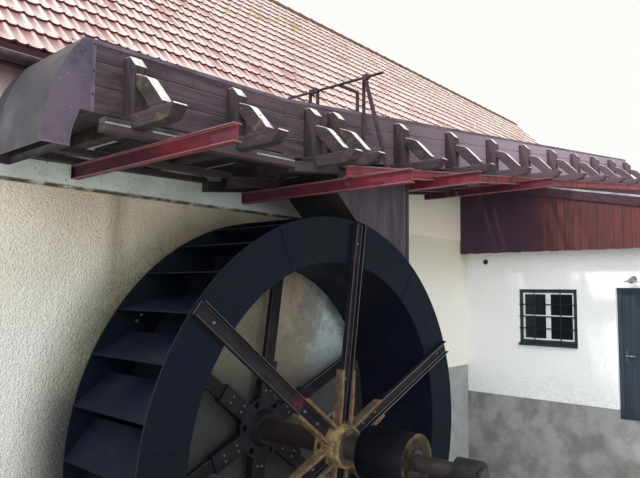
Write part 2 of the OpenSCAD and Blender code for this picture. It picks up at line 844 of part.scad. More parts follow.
// Inner end of a sill: on the wall where it passes under the gutter, short of the eaves
// where it does not, and under the flume's far side over the lean-to roof
function sill_inner_y(x) =
    flume_low(x) < gutter_z - gutter_r - 10 ? face_y - band_proud
    : x < annex_x - annex_verge ? eaves_y - 15 : flume_far;

// Sills with a blunt outer end: a narrow bevel on top and a long slanting cut below
module flume_sills() {
    tip_y = flume_near - sill_out;
    bevel = 15;
    color("olivedrab") for (x = bracket_xs) intersection() {
        strip_at(x, sill_w / 2, tip_y, face_y, sill_depth(x), sill_depth(x) + sill_h);
        along(x - sill_w, x + sill_w) translate([0, flume_low(x)])
            polygon([[sill_inner_y(x), sill_h], [sill_inner_y(x), -2 * sill_h],
                     [tip_y + sill_cut, -2 * sill_h], [tip_y + sill_cut, -sill_h],
                     [tip_y + sill_cut * 0.55, -sill_h * 0.9], [tip_y, -bevel],
                     [tip_y + bevel, 0], [tip_y + bevel, sill_h]]);
    }
}

module bracket_posts() {
    color("darkolivegreen") for (x = bracket_xs) intersection() {
        strip_at(x, post_w / 2, flume_near - post_t, flume_near, 0, side_depth(x));
        along(x - post_w, x + post_w) translate([flume_near, flume_top(x) - post_drop])
            polygon([[0, -2 * flume_h], [-post_t, -2 * flume_h], [-post_t, -post_cut],
                     [-post_t / 2, 0], [0, 0]]);
    }
}

// Knee seen along the flume, with the foot of the flume's outer face at the origin: it falls
// away from the post, bends and runs straight down to a blunt end
module knee_outline() {
    fall = atan2(bend_h - knee_toe, knee_out - bend_out);
    lean = (fall + atan2(knee_h - bend_h, bend_out - post_t)) / 2;
    difference() {
        hull() {
            polygon([[-post_t, -sill_h], [-post_t, knee_h], [-knee_out, knee_toe],
                     [-knee_out, -sill_h]]);
            translate([bend_r * sin(lean) - bend_out, bend_h - bend_r * cos(lean)])
                circle(r = bend_r, $fn = 180);
        }
        polygon([[overlap - post_t, knee_hole], [-post_t, knee_hole], [-post_t - knee_hole, 0],
                 [-post_t - knee_hole - sill_h, -sill_h], [overlap - post_t, -sill_h]]);
    }
}

module knee_braces() {
    color("olive") for (x = bracket_xs) intersection() {
        strip_at(x, knee_w / 2, flume_near - knee_out, flume_near - post_t, 0, side_depth(x));
        along(x - knee_w, x + knee_w) translate([flume_near, flume_low(x)]) knee_outline();
    }
}

// Boards from the flume to the wheel wall, laid on the sills with open gaps between them
module walkway_boards() {
    y0 = flume_far;
    y1 = face_y - band_proud;
    function gap_x(x) = x + 210;
    function board_x0(i) = i == 0 ? flume_x0 : gap_x(bracket_xs[i - 1]) + walk_gap;
    color("gray") for (i = [0:6]) {
        x0 = board_x0(i);
        x1 = i == 6 ? walk_x1 : gap_x(bracket_xs[i]);
        if (x1 < joint_x) tail_strip(x0, x1, y0, y1, flume_h - walk_t, flume_h);
        else if (x0 < joint_x) {
            tail_strip(x0, joint_x - joint_gap, y0, y1, flume_h - walk_t, flume_h);
            head_strip(joint_x, x1, y0, y1, head_h - walk_t, head_h);
        }
        else head_strip(x0, x1, y0, y1, head_h - walk_t, head_h);
    }
}

// Notches by which the rails of the head section straddle the beams past the feed box
module beam_seats() {
    for (i = [0:len(beam_x) - 1]) let (x = beam_x[i], half = beam_w / 2 + fit_gap)
        if (x > feed_x1) block([x - half, face_y - beam_out[i], beam_top(x) - beam_h],
              [x + half, face_y, beam_top(x) + fit_gap]);
}

// Rails between the cantilever beams and the sills, and the ledger on the wall
module timber_rails() {
    inner_y0 = flume_far + 15;
    ledger_y0 = face_y - band_proud - rail_w;
    outer_y0 = flume_near - rail_out - rail_w / 2;
    tail_depth = rail_depth(flume_x0);
    head_depth = rail_depth(flume_x1);
    tail_x0 = flume_x0 + joint_gap;
    tail_x1 = joint_x - joint_gap;
    color("peru") {
        for (y0 = [outer_y0, inner_y0, ledger_y0])
            tail_strip(tail_x0, tail_x1, y0, y0 + rail_w, tail_depth, tail_depth + rail_h);
        head_strip(joint_x, head_first + sill_w / 2, outer_y0, outer_y0 + rail_w,
                   head_depth, head_depth + rail_h);
        difference() {
            union() {
                head_strip(joint_x, eaves_x1, inner_y0, inner_y0 + rail_w,
                           head_depth, head_depth + long_beam_h);
                head_strip(joint_x, beam_x[3] + 2 * rail_w, ledger_y0, ledger_y0 + rail_w,
                           head_depth, head_depth + long_beam_h);
            }
            beam_seats();
        }
    }
}

module long_beam() {
    y = flume_near - long_beam_out;
    upper = rail_depth(flume_x1);
    lower = upper + long_beam_h;
    x0 = long_beam_x0;
    color("firebrick") difference() {
        union() {
            head_strip(x0, flume_x1, y - beam_w / 2, y + beam_w / 2, upper, upper + beam_t);
            head_strip(x0, flume_x1, y - beam_w / 2, y + beam_w / 2, lower - beam_t, lower);
            head_strip(x0, flume_x1, y - beam_t / 2, y + beam_t / 2,
                       upper + beam_t, lower - beam_t);
        }
        beam_seats();
    }
}

// Packing between the lean-to roof and the sills, and between the roof and the long beam
module roof_block(x, y, upper) {
    half = 60;
    intersection() {
        along(x - sill_w / 2, x + sill_w / 2)
            polygon([[y - half, annex_z(y - half, -fit_gap)],
                     [y + half, annex_z(y + half, -fit_gap)],
                     [y + half, flume_top(x)], [y - half, flume_top(x)]]);
        head_strip(x - sill_w, x + sill_w, y - half, y + half, upper, upper + 2 * flume_h);
    }
}

module roof_blocks() {
    upper = rail_depth(flume_x1);
    color("peru") for (x = head_xs) if (x > annex_x) {
        roof_block(x, flume_far, upper);
        roof_block(x, flume_near - long_beam_out, upper + long_beam_h + fit_gap);
    }
}

module cantilever_beams() {
    color("firebrick") for (i = [0:len(beam_x) - 1])
        across(face_y - beam_out[i], face_y + beam_in)
            translate([beam_x[i], beam_top(beam_x[i]) - beam_h]) i_section(beam_h, beam_w, beam_t);
}

// Outline of the hood in X and Z, drawn in by the given sheet thickness
module hood_outline(inset) {
    top_z = tail_top(flume_x0) - inset;
    low_z = flume_low(flume_x0);
    mouth_z = hood_z + 46;
    inner_x = flume_x0 - hood_reach + hood_mouth;
    difference() {
        intersection() {
            translate([flume_x0 - hood_reach + hood_r, mouth_z]) circle(r = hood_r - inset, $fn = 180);
            translate([flume_x0 - hood_reach, mouth_z]) square([hood_reach, top_z - mouth_z]);
        }
        intersection() {
            translate([inner_x + hood_inner_r - 12, mouth_z - 120])
                circle(r = hood_inner_r + inset, $fn = 180);
            translate([inner_x - hood_reach, 0]) square([2 * hood_reach, low_z + inset]);
        }
    }
    translate([flume_x0 - hood_reach + inset, hood_z])
        square([hood_mouth - 2 * inset, mouth_z - hood_z]);
}

module overflow_hood() {
    y1 = flume_near + hood_w;
    color("slategray") {
        across(flume_near, flume_near + hood_t) hood_outline(0);
        across(y1 - hood_t, y1) hood_outline(0);
        difference() {
            across(flume_near + hood_t, y1 - hood_t) hood_outline(0);
            across(flume_near, y1) hood_outline(hood_t);
            block([flume_x0 - hood_reach + hood_t, flume_near, hood_z - overlap],
                  [flume_x0 - hood_reach + hood_mouth - hood_t, y1, hood_z + 60]);
            block([flume_x0 - overlap, flume_near, flume_low(flume_x0) + hood_t],
                  [flume_x0 + overlap, y1, tail_top(flume_x0) - hood_t]);
        }
    }
}

// Box that drops the water on the wheel between the second and third beam
module feed_outline() {
    slope_low = feed_top - feed_lean * 0.844;
    polygon([[feed_x0, rail_top(feed_x0)], [feed_x1, rail_top(feed_x1)],
             [feed_x1, axle_z + feed_low], [feed_x0 + feed_lean, axle_z + feed_low],
             [feed_x0 + feed_lean, slope_low], [feed_x0, feed_top]]);
}

module feed_box() {
    slope_low = feed_top - feed_lean * 0.844;
    color("dimgray") difference() {
        union() {
            across(flume_near, flume_near + feed_t) feed_outline();
            across(flume_far - feed_t, flume_far) feed_outline();
            across(flume_near, flume_far) {
                polygon([[feed_x0, rail_top(feed_x0)], [feed_x0, feed_top],
                         [feed_x0 + feed_lean, slope_low],
                         [feed_x0 + feed_lean + feed_t, slope_low + feed_t],
                         [feed_x0 + feed_t, feed_top + feed_t],
                         [feed_x0 + feed_t, rail_top(feed_x0)]]);
                polygon([[feed_x1 - feed_t, axle_z + feed_low], [feed_x1, axle_z + feed_low],
                         [feed_x1, rail_top(feed_x1)],
                         [feed_x1 - feed_t, rail_top(feed_x1 - feed_t)]]);
            }
            block([feed_x1 - 45, flume_near - 8, axle_z + feed_low],
                  [feed_x1, flume_near, rail_top(feed_x1) - 20]);
        }
        on_shaft(flume_near - plank_t)
            cylinder(r = wheel_r + feed_gap, h = flume_w + 2 * plank_t, $fn = 720);
    }
}

// Trestle and stand that carry the gate shaft
module gate_frame() {
    x0 = gate_x - gate_bar_w / 2;
    x1 = gate_x + gate_bar_w / 2;
    leg_y = flume_near - bar_t;
    foot_y = flume_near - long_beam_out;
    foot_z = rail_top(x1);
    stand_y0 = flume_far - 40;
    stand_y1 = flume_far + 90;
    color("slategray") difference() {
        union() {
            block([x0, leg_y, flume_low(gate_x) + 20], [x1, flume_near, gate_z + 30]);
            block([x0, leg_y - 50, gate_z - 30], [x1, flume_near, gate_z + 30]);
            along(x0, x1)
                polygon([[leg_y - 30, gate_z - 30], [leg_y - 10, gate_z - 30],
                         [foot_y + 30, foot_z], [foot_y - 10, foot_z]]);
            block([x0, stand_y0, head_top(x1)], [x1, stand_y0 + bar_t, gate_z + 25]);
            block([x0, stand_y1 - bar_t, flume_low(x1) + walk_t], [x1, stand_y1, gate_z + 25]);
            block([x0, stand_y0, gate_z - 25], [x1, stand_y1, gate_z + 25]);
        }
        translate([gate_x, flume_near - 200, gate_z]) rotate([-90, 0, 0])
            cylinder(r = gate_d / 2 + bearing_gap, h = flume_w + 400);
    }
}

module gate_shaft() {
    leaf_top = head_h - plank_t - leaf_gap - leaf_t;
    x1 = gate_x + arm_l;
    color("dimgray") {
        translate([gate_x, flume_near - 270, gate_z]) rotate([-90, 0, 0])
            cylinder(r = gate_d / 2, h = flume_w + 270 + 460);
        across(arm_y - arm_t / 2, arm_y + arm_t / 2)
            polygon([[gate_x, gate_z - arm_t / 2], [x1, gate_z - arm_t / 2],
                     [x1, head_top(x1) - leaf_top], [x1 + arm_t, head_top(x1 + arm_t) - leaf_top],
                     [x1 + arm_t, gate_z + arm_t / 2], [gate_x, gate_z + arm_t / 2]]);
    }
}

module gate_leaf() {
    leaf_top = head_h - plank_t - leaf_gap - leaf_t;
    color("sienna")
        head_strip(gate_x + 5, gate_x + arm_l + arm_t, flume_near + plank_t + 10,
                   flume_far - plank_t - 10, leaf_top, leaf_top + leaf_t);
}

module shroud() {
    difference() {
        cylinder(r = wheel_r, h = plate_t, $fn = 192);
        translate([0, 0, -overlap]) cylinder(r = sole_r, h = plate_t + 2 * overlap, $fn = 192);
    }
}

module front_shroud() { color("midnightblue") on_shaft(wheel_front) shroud(); }
module back_shroud() { color("midnightblue") on_shaft(wheel_back - plate_t) shroud(); }

module wheel_sole() {
    l = wheel_w - 2 * plate_t;
    color("midnightblue") on_shaft(wheel_front + plate_t) difference() {
        cylinder(r = sole_r + plate_t, h = l, $fn = 192);
        translate([0, 0, -overlap]) cylinder(r = sole_r, h = l + 2 * overlap, $fn = 192);
    }
}

// Outline of one bent bucket plate: straight out from the sole, then forward to the rim
function polar(r, a) = [r * cos(a), r * sin(a)];
function unit(v) = v / norm(v);
function turned(v) = [-v[1], v[0]];

module bucket_outline() {
    root = polar(sole_r + plate_t, 0);
    knee = polar(sole_r + plate_t + 0.42 * shroud_h, 0);
    lip = polar(wheel_r - 4, -lip_lead);
    n1 = turned(unit(knee - root));
    n2 = turned(unit(lip - knee));
    corner = (n1 + n2) / (1 + n1 * n2);
    polygon([root, knee, lip, lip + n2 * plate_t, knee + corner * plate_t, root + n1 * plate_t]);
}

module buckets() {
    color("darkslateblue") on_shaft(wheel_front + plate_t)
        for (i = [0:bucket_count - 1]) rotate([0, 0, i * 360 / bucket_count])
            linear_extrude(wheel_w - 2 * plate_t) bucket_outline();
}

// Six channels with their webs on the shroud and their flanges standing out, drawn with the
// outer side up
module spokes() {
    r0 = nose_r + 25;
    for (i = [0:spoke_count - 1]) rotate([0, 0, spoke_turn + i * 360 / spoke_count])
        translate([r0, 0, 0]) {
            l = wheel_r * 0.99 - r0;
            translate([0, -spoke_w / 2, 0]) cube([l, spoke_w, spoke_t]);
            for (y = [-spoke_w / 2, spoke_w / 2 - spoke_t])
                translate([0, y, spoke_t]) cube([l, spoke_t, spoke_h - spoke_t]);
        }
}

// Turns a shape drawn with its outer side up so that this side faces away from the house
module facing_out(y) {
    translate([0, y, axle_z]) rotate([90, 0, 0]) children();
}

module facing_wall(y) {
    translate([0, y, axle_z]) rotate([90, 0, 0]) mirror([0, 0, 1]) children();
}

module front_spokes() { color("slategray") facing_out(wheel_front) spokes(); }
module back_spokes() { color("slategray") facing_wall(wheel_back) spokes(); }

// Cast spider: a bored nose, a plate with arms and round openings between them, and a channel
// socket around the foot of each spoke
module hub_plate(arm_w) {
    difference() {
        union() {
            circle(r = web_r);
            for (i = [0:spoke_count - 1]) rotate(spoke_turn + i * 360 / spoke_count)
                translate([0, -arm_w]) square([socket_r, 2 * arm_w]);
        }
        circle(r = shaft_r + fit_gap);
        for (i = [0:spoke_count - 1]) rotate(spoke_turn + (i + 0.5) * 360 / spoke_count)
            translate([(nose_r + web_r) / 2 + 6, 0]) circle(r = 36, $fn = 48);
    }
}

module hub(nose, socket_h) {
    edge = 30;
    arm_w = spoke_w / 2 + fit_gap + socket_t;
    back = 110;
    root = nose_r * 0.85;
    translate([0, 0, -socket_t]) linear_extrude(socket_t) hub_plate(arm_w);
    rotate_extrude()
        polygon([[shaft_r + fit_gap, 0], [nose_r, 0], [nose_r, nose - edge],
                 [nose_r - edge * 0.3, nose - edge * 0.3], [nose_r - edge, nose],
                 [shaft_r + fit_gap, nose]]);
    for (i = [0:spoke_count - 1]) rotate([0, 0, spoke_turn + i * 360 / spoke_count])
        for (y = [-arm_w + socket_t, arm_w])
            translate([0, y, 0]) rotate([90, 0, 0]) linear_extrude(socket_t)
                polygon([[root, 0], [socket_r, 0], [socket_r, socket_h * 0.75],
                         [socket_r * 0.55, socket_h], [root, socket_h]]);
    translate([0, 0, -back]) rotate_extrude()
        polygon([[shaft_r + fit_gap, 0], [nose_r - 40, 0], [nose_r, back - socket_t],
                 [shaft_r + fit_gap, back - socket_t]]);
}

module front_hub() { color("darkkhaki") facing_out(wheel_front) hub(nose_l, 90); }
module back_hub() { color("midnightblue") facing_wall(wheel_back) hub(120, 80); }

module wheel_shaft() {
    drum_end = face_y - drum_y - drum_l;
    shaft_end = inner_y + 60;
    journal_end = face_y - bearing_y - bearing_l - 30;
    color("saddlebrown") {
        on_shaft(drum_end) cylinder(r = shaft_r, h = shaft_end - drum_end);
        on_shaft(journal_end) cylinder(r = journal_r, h = drum_end - journal_end);
    }
}

module belt_drum() {
    color("midnightblue") on_shaft(face_y - drum_y - drum_l) difference() {
        cylinder(r = drum_d / 2, h = drum_l);
        translate([0, 0, -overlap]) cylinder(r = shaft_r + fit_gap, h = drum_l + 2 * overlap);
    }
}

// Plummer block on the pier
module outer_bearing() {
    y0 = face_y - bearing_y - bearing_l;
    foot_z = axle_z - bearing_drop;
    color("dimgray") difference() {
        union() {
            on_shaft(y0) cylinder(r = bearing_r, h = bearing_l);
            block([-bearing_r, y0, foot_z], [bearing_r, y0 + bearing_l, axle_z]);
            block([-2 * bearing_r, y0, foot_z], [2 * bearing_r, y0 + bearing_l, foot_z + 40]);
        }
        on_shaft(y0 - overlap) cylinder(r = journal_r + bearing_gap, h = bearing_l + 2 * overlap);
    }
}

// Flanged bush in the wheel wall
module wall_bearing() {
    y0 = face_y - band_proud - 30;
    color("dimgray") on_shaft(y0) difference() {
        union() {
            cylinder(r = bush_r - fit_gap, h = inner_y - y0);
            cylinder(r = bush_r + 40, h = 30 + band_proud);
        }
        translate([0, 0, -overlap])
            cylinder(r = shaft_r + bearing_gap, h = inner_y - y0 + 2 * overlap);
    }
}

module pier() {
    y = face_y - bearing_y - bearing_l / 2;
    color("gray") block([-pier_w / 2, y - pier_l / 2, 0],
                        [pier_w / 2, y + pier_l / 2, axle_z - bearing_drop]);
}

wheel_wall();
back_wall();
left_gable();
right_gable();
ground_floor();
loft_floor();
front_roof();
back_roof();
ridge_tiles();
gutters();
roof_boards();
window_frames();
casements();
window_glass();
annex_side_wall();
annex_corner_wall();
annex_doorway_walls();
annex_front_wall();
annex_end_wall();
annex_floor();
annex_roof();
annex_boarding();
door_frame();
door_pintles();
door_leaf();
door_straps();
door_handle();
wall_lamp();
flume_near_side();
flume_far_side();
flume_floor();
flume_sills();
walkway_boards();
bracket_posts();
knee_braces();
timber_rails();
long_beam();
roof_blocks();
cantilever_beams();
overflow_hood();
feed_box();
gate_frame();
gate_shaft();
gate_leaf();
front_shroud();
back_shroud();
wheel_sole();
buckets();
front_spokes();
back_spokes();
front_hub();
back_hub();
wheel_shaft();
belt_drum();
outer_bearing();
wall_bearing();
pier();
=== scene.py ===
from math import cos, pi, radians, sin, sqrt, tan

import bmesh
import bpy
from bmesh import ops
from mathutils import Matrix, Vector


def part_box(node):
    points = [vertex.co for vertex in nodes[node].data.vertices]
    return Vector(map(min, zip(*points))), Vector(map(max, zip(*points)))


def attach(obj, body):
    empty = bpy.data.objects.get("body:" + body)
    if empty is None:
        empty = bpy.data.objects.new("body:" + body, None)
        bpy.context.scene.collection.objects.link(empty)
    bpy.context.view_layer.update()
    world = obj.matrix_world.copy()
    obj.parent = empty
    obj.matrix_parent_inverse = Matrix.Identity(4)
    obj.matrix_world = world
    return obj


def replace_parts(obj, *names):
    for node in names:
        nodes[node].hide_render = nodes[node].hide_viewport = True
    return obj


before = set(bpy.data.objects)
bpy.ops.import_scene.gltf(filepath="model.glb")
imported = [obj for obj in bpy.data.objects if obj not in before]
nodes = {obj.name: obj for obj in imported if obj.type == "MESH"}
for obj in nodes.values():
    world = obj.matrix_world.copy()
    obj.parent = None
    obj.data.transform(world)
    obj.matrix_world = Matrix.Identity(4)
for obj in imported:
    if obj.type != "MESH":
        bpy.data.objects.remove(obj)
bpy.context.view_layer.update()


# Studio: a camera at the photo's viewing angle, beside the wheel and looking up under the
# flume, a high sun from behind the left gable and a pale sky, over a plain pale floor.
scene = bpy.context.scene
camera_data = bpy.data.cameras.new("camera")
camera_data.sensor_width = 36
camera_data.lens = 34.03
camera_data.clip_end = 500
camera = bpy.data.objects.new("camera", camera_data)
scene.collection.objects.link(camera)
yaw, pitch, roll = radians(41.36), radians(4.846), radians(0.584)
forward = Vector((cos(yaw) * cos(pitch), sin(yaw) * cos(pitch), sin(pitch)))
level = Vector((sin(yaw), -cos(yaw), 0))
upward = level.cross(forward)
camera_right = level * cos(roll) + upward * sin(roll)
camera_up = upward * cos(roll) - level * sin(roll)
camera_turn = Matrix((camera_right, camera_up, -forward)).transposed().to_4x4()
camera.matrix_world = Matrix.Translation((-4.813, -5.54, 4.096)) @ camera_turn
scene.camera = camera


def distant_light(name, energy, spread, colour, towards):
    """Parallel light, as strong and as widely spread as asked, that shines towards a point."""
    data = bpy.data.lights.new(name, "SUN")
    data.energy, data.angle, data.color = energy, radians(spread), colour
    light = bpy.data.objects.new(name, data)
    light.rotation_euler = Vector(towards).to_track_quat("-Z", "Y").to_euler()
    scene.collection.objects.link(light)


distant_light("sun", 1.9, 4, (1, 0.975, 0.94), (0.62, -0.22, -0.75))
# The open yard in front of the mill sends soft light up on to the walls.
distant_light("yard", 3, 100, (0.96, 0.98, 1), (0.62, 0.6, -0.22))

world = bpy.data.worlds.new("sky")
world.use_nodes = True
scene.world = world
scene.view_settings.view_transform = "Standard"

floor_mesh = bpy.data.meshes.new("floor")
shape = bmesh.new()
ops.create_grid(shape, x_segments=1, y_segments=1, size=120)
shape.to_mesh(floor_mesh)
shape.free()
floor = bpy.data.objects.new("floor", floor_mesh)
floor.location.z = -0.002
scene.collection.objects.link(floor)


def shade(colour, share=1):
    """A colour as a paint chart gives it, 0 to 255, in the shader's values, or a share of it."""
    parts = [c / 255 for c in colour]
    return tuple(share * (c / 12.92 if c <= 0.04045 else ((c + 0.055) / 1.055) ** 2.4)
        for c in parts) + (1,)


def give(socket, value):
    """Links a value to a socket, or sets it there; colours are given as on a paint chart."""
    if isinstance(value, bpy.types.NodeSocket):
        tree.links.new(value, socket)
    elif socket.type == "RGBA" and len(value) == 3:
        socket.default_value = shade(value)
    else:
        socket.default_value = value


def add(kind, **settings):
    """A node of the finish in work, with its properties and sockets set."""
    made = tree.nodes.new("ShaderNode" + kind)
    for name, value in settings.items():
        if hasattr(made, name):
            setattr(made, name, value)
        else:
            give(made.inputs[int(name[1:]) if name[1:].isdigit() else name.replace("_", " ")], value)
    return made


def plug(socket_name, value):
    give(tree.nodes["Principled BSDF"].inputs[socket_name], value)


def new_finish(name, roughness, metallic=0, gloss=0.5):
    """A finish without its colour yet, which is the one in work until the next is begun."""
    global tree
    finish = bpy.data.materials.new(name)
    finish.use_nodes = True
    tree = finish.node_tree
    plug("Roughness", roughness)
    plug("Metallic", metallic)
    plug("Specular IOR Level", gloss)
    return finish


def figure(operation, first, second=0):
    return add("Math", operation=operation, i0=first, i1=second).outputs[0]


def mixed(share, first, second):
    return add("Mix", data_type="RGBA", i0=share, i6=first, i7=second).outputs[2]


def layered(tone, *layers):
    """A tone with others laid over it; each layer is a share and a tone."""
    for share, over in layers:
        tone = mixed(share, tone, over)
    return tone


def paint(tone, *layers):
    plug("Base Color", layered(tone, *layers))


# The sky lights the mill softly, and looks white to the camera, to metal and through glass.
tree = world.node_tree
ray = add("LightPath").outputs
seen = figure("MAXIMUM", ray["Is Camera Ray"], ray["Is Glossy Ray"])
seen = figure("MAXIMUM", seen, ray["Is Transmission Ray"])
sky = mixed(seen, (0.576, 0.619, 0.67, 1), (0.97, 0.985, 0.955, 1))
tree.links.new(sky, tree.nodes["Background"].inputs["Color"])

floor_finish = new_finish("pale_floor", 0.95)
floor_grain = add("TexNoise", Scale=0.6, Detail=3)
paint(mixed(floor_grain.outputs[0], (210, 208, 201), (220, 218, 212)))
floor.data.materials.append(floor_finish)


# Masonry of the house: rubble walls with a rough-cast lime render, thrown on with a trowel,
# and a smooth trowelled band above a ledge. Spray from the wheel has left algae and lime on it.
eaves_z, eaves_y, tile_end_y = 6, -0.58, -0.515
house_x0, house_x1, ridge_y = -5.25, 17.05, 3.95
ledge_z, plinth_z, foot_z, shaft_z = 5.016, 2.329, 2.797, 2.55


def place(**settings):
    """Where a point lies on the piece, in metres, turned or stretched where that is asked."""
    spot = add("TexCoord").outputs["Object"]
    if not settings:
        return spot
    return add("Mapping", Vector=spot, **settings).outputs[0]


def along_axis(axis):
    """The distance along X, Y or Z."""
    return add("SeparateXYZ", Vector=place()).outputs[axis]


def faces(axis):
    """How far the surface looks along X, Y or Z, from -1 to 1."""
    normal = add("TexCoord").outputs["Normal"]
    return add("SeparateXYZ", Vector=normal).outputs[axis]


def clouds(scale, detail=3, roughness=0.5, **settings):
    """Uneven patches from 0 to 1, so many to the metre."""
    return add("TexNoise", Vector=place(**settings), Scale=scale, Detail=detail,
        Roughness=roughness).outputs[0]


def times(first, second):
    return figure("MULTIPLY", first, second)


def apart(first, second):
    return figure("ABSOLUTE", figure("SUBTRACT", first, second))


def between(value, low, high, start=0, end=1):
    """The range from low to high turned into start to end, with soft ends."""
    return add("MapRange", interpolation_type="SMOOTHSTEP", Value=value, From_Min=low, From_Max=high,
        To_Min=start, To_Max=end).outputs[0]


def mottled(first, second, low, high, *cloud, **settings):
    """A tone that passes unevenly into a second one where the clouds lie between low and high."""
    return mixed(between(clouds(*cloud, **settings), low, high), first, second)


def relief(height, depth):
    """Unevenness of the surface, so many metres deep."""
    plug("Normal", add("Bump", Distance=depth, Height=height).outputs[0])


def dress(finish, *names):
    """Gives a finish to solids of the frame."""
    for name in names:
        for slot in nodes[name].material_slots:
            slot.material = finish


def render_coat(name, light, dark, pit_share):
    """Thrown render: grains of two sizes, darker in the hollows."""
    coat = new_finish(name, 0.95)
    grains = add("TexVoronoi", Vector=place(), Scale=76, feature="SMOOTH_F1")
    height = figure("ADD", times(grains.outputs[0], 0.75), clouds(33, 6, 0.66))
    tone = mottled(light, dark, 0.36, 0.7, 0.9, 6, 0.55)
    tone = mixed(times(between(height, 0.8, 0.56), pit_share), tone, (138, 126, 104))
    return coat, tone, height


rough_cast, cast_tone, cast_height = render_coat("rough_cast", (248, 236, 213), (230, 209, 179), 0.16)
up = along_axis(2)
over_x = along_axis(0)
faces_y = faces(1)
by_wheel = times(between(faces_y, -0.3, -0.7), between(along_axis(1), 0.6, 0.4))
radius = figure("SQRT", figure("ADD", figure("POWER", over_x, 2),
    figure("POWER", figure("SUBTRACT", up, shaft_z), 2)))
streaks = clouds(1, 5, 0.65, Scale=(3.2, 3.2, 0.28))
algae = times(times(between(streaks, 0.54, 0.74), between(radius, 3.6, 1.6, 0.1, 0.6)), by_wheel)
damp = times(between(up, 3.2, 0.6), between(clouds(1.4, 5), 0.3, 0.62))
cast_tone = layered(cast_tone,
    (times(by_wheel, between(up, 5.3, 3.5, 0, 0.75)), (232, 236, 231)),
    (between(by_wheel, 0, 1, 0.62, 0), (216, 210, 197)),
    (algae, (134, 128, 82)),
    (times(damp, between(by_wheel, 0, 1, 0.22, 0.75)), (96, 98, 78)))
# One green run comes down from the ledge, and inside the wheel the wall never dries: blue-grey
# with lime at the top and green at the side the water falls on. Towards the right it is painted
# lighter, painted light against the wheel's shadow, and low down it is painted nearly black as
# painted shadow.
run_line = apart(over_x, -1.75)
run_share = times(times(between(run_line, 0.16, 0.02), between(streaks, 0.3, 0.62, 0.15, 0.6)),
    by_wheel)
cast_tone = mixed(run_share, cast_tone, (128, 122, 78))
in_wheel = times(between(radius, 2.75, 2.25), by_wheel)
spray = clouds(1.7, 7, 0.62)
wet_tone_with_painted_light = layered(mixed(between(over_x, 0.7, -0.3), (190, 172, 150), (138, 140, 112)),
    (between(clouds(1.3, 6, 0.6), 0.5, 0.64, 0, 0.55), (136, 102, 78)),
    (between(over_x, 0.65, 1.45), (224, 246, 250)),
    (between(spray, 0.44, 0.6, 0, 0.6), (98, 96, 84)),
    (times(between(cast_height, 0.8, 0.56), 0.45), (84, 86, 82)),
    (between(figure("ADD", up, times(spray, 0.9)), 4.05, 3.2), (34, 36, 42)))
cast_tone = mixed(times(in_wheel, 0.92), cast_tone, wet_tone_with_painted_light)
# The smooth band above the ledge is whiter, with a dark line of moss where the dirt has settled; close
# under the eaves it is painted pinkish brown as painted shade.
on_band = between(up, ledge_z - 0.022, ledge_z - 0.014)
band_tone = layered(mottled((226, 233, 229), (200, 206, 198), 0.42, 0.66, 2.2, 6, 0.6),
    (between(clouds(42, 2), 0.66, 0.72), (120, 116, 92)),
    (times(by_wheel, between(up, 5.6, 5.88, 0, 0.95)), (168, 138, 140)))
cast_tone = mixed(on_band, cast_tone, band_tone)
crust = times(between(apart(up, ledge_z - 0.012), 0.024, 0.006), between(clouds(9, 4), 0.3, 0.55, 0.25,
    1))
cast_tone = mixed(crust, cast_tone, (84, 80, 54))
# Past the wheel the wall is trowelled smooth and limewashed, over a grey cement plinth, and
# so is the whole back wall.
at_back = times(between(faces_y, 0.3, 0.7), between(along_axis(1), 7.8, 7.88))
past_wheel = figure("MAXIMUM", between(over_x, 2.05, 2.35), at_back)
plain_tone = mixed(clouds(1.2, 5), (248, 246, 240), (240, 236, 222))
shaded = times(by_wheel, between(over_x, 6.4, 5))
plain_tone = mixed(times(shaded, between(up, 3.9, 4.9, 0, 0.7)), plain_tone, (208, 198, 176))
foot_tone = mixed(clouds(5, 8, 0.7), (190, 192, 192), (120, 120, 118))
plain_tone = mixed(between(up, foot_z + 0.004, foot_z - 0.004), plain_tone, foot_tone)
paint(cast_tone, (past_wheel, plain_tone))
relief(times(cast_height, between(up, ledge_z - 0.03, ledge_z - 0.01, 1, 0.1)), 0.02)
dress(rough_cast, "wheel_wall", "back_wall", "left_gable", "right_gable")


# Annex walls: the same thrown render, limewashed nearly white, over a smooth grey cement
# plinth that has cracked and darkened where it meets the ground.
white_cast, white_tone, white_height = render_coat("white_cast", (253, 254, 254), (247, 248, 246), 0.1)
white_up = along_axis(2)
soiled = times(between(white_up, 2.9, plinth_z, 0, 0.16), between(clouds(24, 4), 0.42, 0.64))
white_tone = mixed(soiled, white_tone, (150, 148, 140))
plinth_tone = layered(mottled((160, 160, 159), (126, 125, 123), 0.38, 0.64, 2.5, 8, 0.6),
    (between(clouds(30, 3), 0.64, 0.74, 0, 0.7), (92, 90, 84)),
    (times(between(white_up, plinth_z - 0.25, 0.2, 0.1, 0.8), between(clouds(1.6, 7, 0.65), 0.36, 0.6,
        0.3, 1)), (98, 94, 82)))
in_plinth = between(white_up, plinth_z + 0.003, plinth_z - 0.003)
paint(mixed(in_plinth, white_tone, plinth_tone))
relief(times(white_height, between(white_up, plinth_z + 0.003, plinth_z - 0.003, 1, 0.25)), 0.01)
dress(white_cast, "annex_side_wall", "annex_corner_wall", "annex_doorway_walls", "annex_front_wall",
    "annex_end_wall")

# A clay vent pipe that ends flush in the annex wall, close under the boarding.
vent_x, vent_y, vent_z = 5.277, -0.616, 4.631


def move(shape, step, verts=None):
    ops.translate(shape, vec=step, verts=shape.verts if verts is None else verts)


def swing(shape, angle, axis, verts=None):
    ops.rotate(shape, verts=shape.verts if verts is None else verts,
        matrix=Matrix.Rotation(angle, 3, axis))


def verts_of(geom):
    return [v for v in geom if isinstance(v, bmesh.types.BMVert)]


def edges_among(shape, verts):
    return [e for e in shape.edges if all(v in verts for v in e.verts)]


